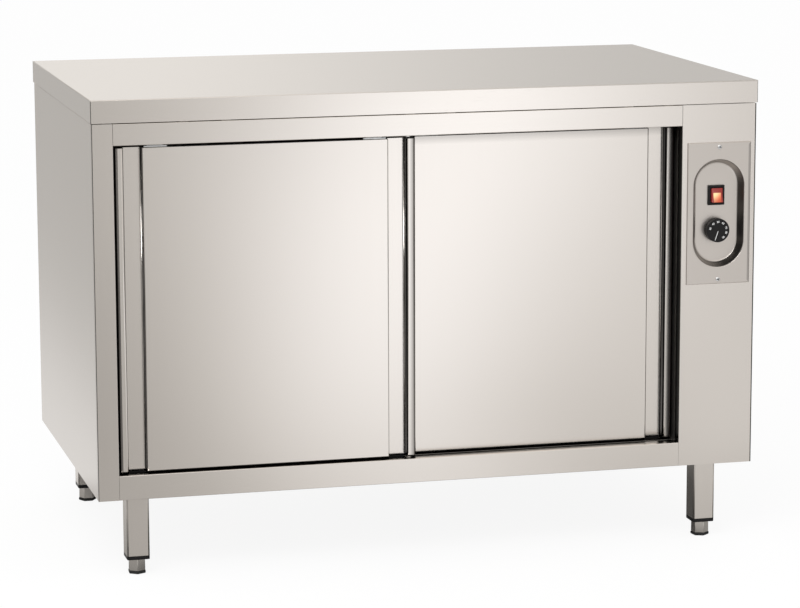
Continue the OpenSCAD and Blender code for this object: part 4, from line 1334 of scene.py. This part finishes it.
def make_legs():
    """Four square leg tubes and the plugs in their ends."""
    low, high = span("legs")
    sizes = settings("legs")
    side = LEG_SIDE
    places = [(x, y) for x in (low.x, high.x - side) for y in (low.y, high.y - side)]
    bm = start_mesh()
    for x, y in places:
        tube = block(bm, (x, y, low.z), (x + side, y + side, high.z))
        under = [f for f in faces_of(tube) if f.normal.z < -0.5]
        bmesh.ops.delete(bm, geom=under, context="FACES_ONLY")
        corners = [e for e in edges_of(tube) if along(e, 2)]
        # the rounded corners get a little painted shade
        mark_shaded(bm, round_edges(bm, corners, mm(sizes.corner), 5), 0.22)
    bmesh.ops.recalc_face_normals(bm, faces=bm.faces)
    make_piece(
        "leg_tubes", bm, "cabinet", "leg", ["legs"], outward=False, wall=LEG_WALL
    )

    low, high = span("leg_plugs")
    head_top = low.z + PLUG_HEAD
    bm = start_mesh()
    for x, y in places:
        plug = block(bm, (x, y, low.z), (x + side, y + side, head_top))
        round_edges(bm, [e for e in edges_of(plug) if along(e, 2)], mm(sizes.corner), 5)
    round_edges(bm, [e for e in bm.edges if at(e, 2, low.z)], mm(sizes.plug_edge), 3)
    for x, y in places:
        block(
            bm,
            (x + PLUG_IN, y + PLUG_IN, head_top - 0.5),
            (x + side - PLUG_IN, y + side - PLUG_IN, high.z),
        )
    make_piece("leg_plug_mouldings", bm, "cabinet", "black", ["leg_plugs"])


def turned(bm, profile, centre, sides=48, twist=0.0):
    """A solid of revolution about an upright axis, or with six sides a prism; its vertices."""
    before = set(bm.verts)
    points = [bm.verts.new((r, 0.0, z)) for r, z in profile]
    line = [bm.edges.new(pair) for pair in zip(points, points[1:])]
    bmesh.ops.spin(
        bm,
        geom=points + line,
        cent=(0, 0, 0),
        axis=(0, 0, 1),
        angle=2.0 * math.pi,
        steps=sides,
        use_merge=True,
    )
    bmesh.ops.remove_doubles(bm, verts=[v for v in bm.verts if v not in before], dist=0.001)
    made = [v for v in bm.verts if v not in before]
    faces = faces_of(made)
    bmesh.ops.recalc_face_normals(bm, faces=faces)
    for face in faces:
        face.smooth = sides > 6 and abs(face.normal.z) < 0.95
    turn(bm, made, (0, 0, 0), "Z", twist)
    bmesh.ops.translate(bm, vec=centre, verts=made)
    return made


def make_feet():
    """The screw feet, six-sided for a spanner, and their rubber pads."""
    edge, r, top = mm(settings("legs").foot_edge), FOOT_HALF, FOOT_TOP
    for end, twist in FOOT_TWIST.items():
        node, body = end + "_foot", end + "_screw_foot"
        low, high = span(node)
        centre = centre_of(node)
        centre.z = 0.0
        barrel = [
            (0.0, low.z), (r - edge, low.z), (r, low.z + edge),
            (r - 0.3, top - edge), (r - 0.3 - edge, top), (0.0, top),
        ]
        stem = [
            (0.0, top - 2.0), (STEM_RADIUS, top - 2.0), (STEM_RADIUS, high.z - 1.0),
            (STEM_RADIUS - 0.8, high.z), (0.0, high.z),
        ]
        bm = start_mesh()
        made = turned(bm, barrel, centre, 6, twist)
        bm.normal_update()
        upright = [e for e in edges_of(made) if abs(e.verts[0].co.z - e.verts[1].co.z) > 15.0]
        round_edges(bm, upright, 0.8, 3)
        turned(bm, stem, centre)
        make_piece(node + "_barrel", bm, body, "foot", [node], outward=False)
        pad = [
            (0.0, 0.0), (r - 1.0, 0.0), (r, 0.5), (r + 0.7, 1.6), (r + 0.7, PAD_HEIGHT - 0.6),
            (r + 0.2, PAD_HEIGHT), (0.0, PAD_HEIGHT),
        ]
        bm = start_mesh()
        turned(bm, pad, centre, 6, twist)
        make_piece(
            node + "_pad_moulding", bm, body, "rubber", [node + "_pad"],
            outward=False,
        )


# ---- inside ----


def make_inside():
    """The shelf, the lower track and the doors' inner skins, with round folds and eased edges."""
    eased_panel("shelf", "plain", 2, span("shelf")[1].z, 1.1)
    sill = span("sill_rail")[1].z
    # the lower track lies in shade between the doors and the sill, and gets painted shade
    eased_panel("lower_door_track", "worktop", 2, sill, 0.5, shaded=0.7)
    for node in ("left_door_inner_skin", "right_door_inner_skin"):
        eased_panel(node, "plain", 1, span(node)[1].y, 1.0)


# ---- stage ----


def make_stage():
    """Floor, light and camera."""
    studio = settings("studio")
    bm = start_mesh()
    made = bmesh.ops.create_grid(bm, x_segments=1, y_segments=1, size=40.0)["verts"]
    bmesh.ops.translate(bm, vec=(0, 0, -0.0003), verts=made)
    mesh = bpy.data.meshes.new("floor")
    bm.to_mesh(mesh)
    bm.free()
    floor = bpy.data.objects.new("floor", mesh)
    bpy.context.scene.collection.objects.link(floor)
    mesh.materials.append(floor_finish(studio.floor_shadow))
    make_world()
    make_lamp(studio.lamp)
    make_camera()


# how light the floor looks in the front panels, from left to right across the cabinet's width
FLOOR_HALF = 1.60
FLOOR_ACROSS = [
    (-1.60, 0.30), (-0.95, 0.28), (-0.76, 0.42), (-0.67, 0.50), (-0.56, 0.51), (-0.41, 0.59),
    (-0.32, 0.69), (-0.23, 0.90), (-0.13, 1.20), (-0.03, 1.39), (0.07, 1.50), (0.17, 1.43),
    (0.26, 1.21), (0.35, 1.00), (0.44, 0.84), (0.60, 0.79), (0.75, 0.74), (0.92, 0.52), (1.60, 0.34),
]
# and from the floor near the cabinet to the far floor, by the height on the panel that shows it
FLOOR_HIGH = 0.90
FLOOR_AWAY = [
    (0.0, 0.40), (0.15, 0.44), (0.25, 0.62), (0.35, 0.78), (0.48, 0.89), (0.66, 1.0),
    (0.75, 1.04), (0.90, 1.04),
]
# an even light that is added to it there
FLOOR_EVEN = [(0.0, 0.28), (0.15, 0.26), (0.25, 0.12), (0.35, 0.04), (0.48, 0.0), (0.90, 0.0)]
# how far the pool of light lies to the left there
FLOOR_LEAN = [(0.0, 0.08), (0.15, 0.10), (0.25, 0.15), (0.48, 0.13), (0.68, 0.11), (0.76, 0.0)]

EYE = Vector((-1.416, -5.62, 1.432))
YAW, PITCH, ROLL = -14.422, -10.12, -0.177


def floor_light(nodes):
    """The painted light and shadow that shiny things see on the floor, by the place on it."""
    here = nodes.add("ShaderNodeTexCoord", out="Object")
    x, y = nodes.part(here, "X"), nodes.part(here, "Y")
    # the place on the front that mirrors this place on the floor for someone at the front left
    front_y = BODY_FRONT / 1000.0
    reach = front_y - EYE.y
    away = nodes.add("ShaderNodeMath", {"operation": "MAXIMUM"}, {0: front_y - y, 1: 0.0})
    mirrored_x = (x + away * (EYE.x / reach)) / (away / reach + 1.0)
    shown_z = away * EYE.z / (away + reach)
    lean = nodes.profile(shown_z, FLOOR_LEAN, 0.0, FLOOR_HIGH, 0.2)
    shown_x = mirrored_x + lean * (1.0 - nodes.spread(mirrored_x, 0.05, 0.50))
    pool = nodes.profile(shown_x, FLOOR_ACROSS, -FLOOR_HALF, FLOOR_HALF, 1.7)
    deep = nodes.profile(shown_z, FLOOR_AWAY, 0.0, FLOOR_HIGH, 1.1)
    even = nodes.profile(shown_z, FLOOR_EVEN, 0.0, FLOOR_HIGH, 1.0)
    lift = nodes.spread(shown_x, 0.34, 0.56, 0.0, 0.90) * nodes.spread(shown_z, 0.05, 0.22)
    pool = pool * (deep + (1.0 - deep) * lift) + even * (1.0 - lift)
    # beyond the dark strip at the left the floor is lighter near the cabinet again
    left = nodes.spread(mirrored_x, -1.75, -1.40, 1.0, 0.0)
    radius = nodes.add("ShaderNodeVectorMath", {"operation": "LENGTH"}, {0: here}, "Value")
    pool = pool * (1.0 - left) + nodes.spread(radius, 1.9, 3.2, 0.50, 0.32) * left
    # beside and behind the cabinet the floor is light near it and greyer further off
    side_x = x.absolute()
    beside = nodes.spread(side_x, 0.76, 1.08, 0.82, 0.52)
    beside = beside * nodes.spread(side_x - y * 0.5, 1.2, 2.0, 1.0, 0.60)
    front = nodes.spread(y, -0.5, 0.0, 1.0, 0.0)
    light = pool * front + beside * (1.0 - front)
    # and a painted shadow under the cabinet
    under = nodes.spread(side_x, 0.62, 0.78, 1.0, 0.0)
    under = under * nodes.spread(y.absolute(), 0.30, 0.46, 1.0, 0.0)
    return light * (1.0 - under * nodes.spread(side_x, 0.46, 0.58, 0.90, 0.50))


def floor_finish(kept):
    """A pale floor that is white with a faint shadow, and has a painted pool of light and painted
    shadow for shiny things.
    """
    material = bpy.data.materials.new("floor")
    material.use_nodes = True
    nodes = Nodes(material.node_tree)
    light = floor_light(nodes)
    tint = nodes.blend(nodes.spread(light, 0.4, 1.4), DIM_LIGHT, BRIGHT_LIGHT)
    diffuse = nodes.add("ShaderNodeBsdfDiffuse", None, {"Color": toned(WHITE, 0.9)})
    mirror = nodes.add("ShaderNodeEmission", None, {"Color": tint, "Strength": light})
    white = nodes.add("ShaderNodeEmission", None, {"Color": WHITE, "Strength": 1.0})
    seen = nodes.either(1.0 - kept, diffuse, white)
    surface = nodes.by_ray(diffuse, white, mirror, seen)
    nodes.add("ShaderNodeOutputMaterial", None, {"Surface": surface})
    return material


# how bright the studio is by direction: degrees from the front towards the right, and a level
ROUND_THE_STUDIO = [
    (-180.0, 0.82), (-170.0, 0.66), (-150.0, 0.56), (-120.0, 0.55), (-90.0, 0.55), (-45.0, 0.50),
    (-8.0, 0.50), (4.0, 0.60), (15.0, 1.10), (25.0, 0.85), (38.0, 0.62), (60.0, 0.52),
    (90.0, 0.50), (120.0, 0.50), (145.0, 0.54), (160.0, 0.59), (171.0, 0.88), (180.0, 0.82),
]
OVERHEAD = 0.85


def make_world():
    """White for the camera, a soft studio for shiny surfaces, even light for the rest."""
    world = bpy.data.worlds.new("studio")
    bpy.context.scene.world = world
    world.use_nodes = True
    nodes = Nodes(world.node_tree)
    way = nodes.add("ShaderNodeTexCoord", None, None, "Generated")
    towards_front = 0.0 - nodes.part(way, "Y")
    angle = nodes.add(
        "ShaderNodeMath", {"operation": "ARCTAN2"}, {0: nodes.part(way, "X"), 1: towards_front}
    )
    level = nodes.profile(angle * (180.0 / math.pi), ROUND_THE_STUDIO, -180.0, 180.0, 1.2)
    # straight up there is no direction to go by
    upright = nodes.spread(nodes.part(way, "Z"), 0.45, 0.85)
    level = level * (1.0 - upright) + upright * OVERHEAD
    soft = nodes.add("ShaderNodeBackground", None, {"Color": WHITE, "Strength": 0.95})
    studio = nodes.add("ShaderNodeBackground", None, {"Color": DIM_LIGHT, "Strength": level})
    white = nodes.add("ShaderNodeBackground", None, {"Color": WHITE, "Strength": 1.0})
    light = nodes.by_ray(soft, white, studio, white)
    nodes.add("ShaderNodeOutputWorld", None, {"Surface": light})


def make_lamp(power):
    """A soft lamp above the front left."""
    lamp = bpy.data.lights.new("soft_lamp", "AREA")
    lamp.shape = "RECTANGLE"
    lamp.size = 2.4
    lamp.size_y = 1.6
    lamp.energy = power
    holder = bpy.data.objects.new("soft_lamp", lamp)
    bpy.context.scene.collection.objects.link(holder)
    holder.location = (-1.6, -2.4, 3.0)
    aim = Vector((0.0, 0.0, 0.4)) - holder.location
    holder.rotation_euler = aim.to_track_quat("-Z", "Y").to_euler()


def make_camera():
    """The camera at the photograph's angle."""
    lens = bpy.data.cameras.new("camera")
    lens.sensor_width = 36.0
    lens.lens = 142.05
    lens.clip_end = 200.0
    holder = bpy.data.objects.new("camera", lens)
    bpy.context.scene.collection.objects.link(holder)
    holder.location = EYE
    turns = ((YAW, "Z"), (90.0 + PITCH, "X"), (ROLL, "Z"))
    yaw, pitch, roll = (Matrix.Rotation(math.radians(angle), 3, axis) for angle, axis in turns)
    holder.rotation_euler = (yaw @ pitch @ roll).to_euler()
    bpy.context.scene.camera = holder


# ---- operators ----


class PLATEWARMER_OT_finishes(bpy.types.Operator):
    """Make the finishes and give them to the carried-over CAD nodes"""

    bl_idname = "plate_warmer.finishes"
    bl_label = "Finishes"

    def execute(self, context):
        make_finishes()
        finish_nodes()
        return {"FINISHED"}


class PLATEWARMER_OT_worktop(bpy.types.Operator):
    """Make the worktop's folded sheet"""

    bl_idname = "plate_warmer.worktop"
    bl_label = "Worktop"

    def execute(self, context):
        make_worktop()
        return {"FINISHED"}


class PLATEWARMER_OT_body(bpy.types.Operator):
    """Make the body's folded panels"""

    bl_idname = "plate_warmer.body"
    bl_label = "Body panels"

    def execute(self, context):
        make_body()
        return {"FINISHED"}


class PLATEWARMER_OT_doors(bpy.types.Operator):
    """Make both sliding doors"""

    bl_idname = "plate_warmer.doors"
    bl_label = "Sliding doors"

    def execute(self, context):
        make_doors()
        return {"FINISHED"}


class PLATEWARMER_OT_control_plate(bpy.types.Operator):
    """Make the control plate and its screws"""

    bl_idname = "plate_warmer.control_plate"
    bl_label = "Control plate"

    def execute(self, context):
        make_control_plate()
        make_plate_screws()
        return {"FINISHED"}


class PLATEWARMER_OT_switch(bpy.types.Operator):
    """Make the lit switch"""

    bl_idname = "plate_warmer.switch"
    bl_label = "Switch"

    def execute(self, context):
        make_switch_bezel()
        make_rocker()
        return {"FINISHED"}


class PLATEWARMER_OT_knob(bpy.types.Operator):
    """Make the thermostat knob"""

    bl_idname = "plate_warmer.knob"
    bl_label = "Thermostat knob"

    def execute(self, context):
        make_knob()
        return {"FINISHED"}


class PLATEWARMER_OT_legs(bpy.types.Operator):
    """Make the legs, plugs, screw feet and pads"""

    bl_idname = "plate_warmer.legs"
    bl_label = "Legs and feet"

    def execute(self, context):
        make_legs()
        make_feet()
        return {"FINISHED"}


class PLATEWARMER_OT_inside(bpy.types.Operator):
    """Make the sheet pieces inside"""

    bl_idname = "plate_warmer.inside"
    bl_label = "Inside"

    def execute(self, context):
        make_inside()
        return {"FINISHED"}


class PLATEWARMER_OT_stage(bpy.types.Operator):
    """Make the floor, the light and the camera"""

    bl_idname = "plate_warmer.stage"
    bl_label = "Stage"

    def execute(self, context):
        make_stage()
        return {"FINISHED"}


STEPS = [
    PLATEWARMER_OT_finishes,
    PLATEWARMER_OT_worktop,
    PLATEWARMER_OT_body,
    PLATEWARMER_OT_doors,
    PLATEWARMER_OT_control_plate,
    PLATEWARMER_OT_switch,
    PLATEWARMER_OT_knob,
    PLATEWARMER_OT_legs,
    PLATEWARMER_OT_inside,
    PLATEWARMER_OT_stage,
]


class PLATEWARMER_PT_panel(bpy.types.Panel):
    """Lists the steps that build the cabinet and the sizes they use"""

    bl_idname = "PLATEWARMER_PT_panel"
    bl_label = "Plate warmer cabinet"
    bl_space_type = "VIEW_3D"
    bl_region_type = "UI"
    bl_category = "Plate Warmer"

    def draw(self, context):
        for step in STEPS:
            self.layout.operator(step.bl_idname, text=step.bl_label)
        for name, group in SETTINGS.items():
            box = self.layout.box()
            box.label(text=name.capitalize())
            for key in group.__annotations__:
                box.prop(settings(name), key)


def register():
    """Registers the classes and the scene's settings."""
    for group in SETTINGS.values():
        bpy.utils.register_class(group)
    for name, group in SETTINGS.items():
        setattr(bpy.types.Scene, "plate_warmer_" + name, PointerProperty(type=group))
    for step in STEPS:
        bpy.utils.register_class(step)
    bpy.utils.register_class(PLATEWARMER_PT_panel)


def unregister():
    """Takes the classes and settings away again."""
    bpy.utils.unregister_class(PLATEWARMER_PT_panel)
    for step in reversed(STEPS):
        bpy.utils.unregister_class(step)
    for name in SETTINGS:
        delattr(bpy.types.Scene, "plate_warmer_" + name)
    for group in reversed(SETTINGS.values()):
        bpy.utils.unregister_class(group)


def main():
    """Builds everything."""
    register()
    bpy.context.scene.view_settings.view_transform = "Standard"
    for step in STEPS:
        area, name = step.bl_idname.split(".")
        getattr(getattr(bpy.ops, area), name)()


if __name__ == "__main__":
    main()
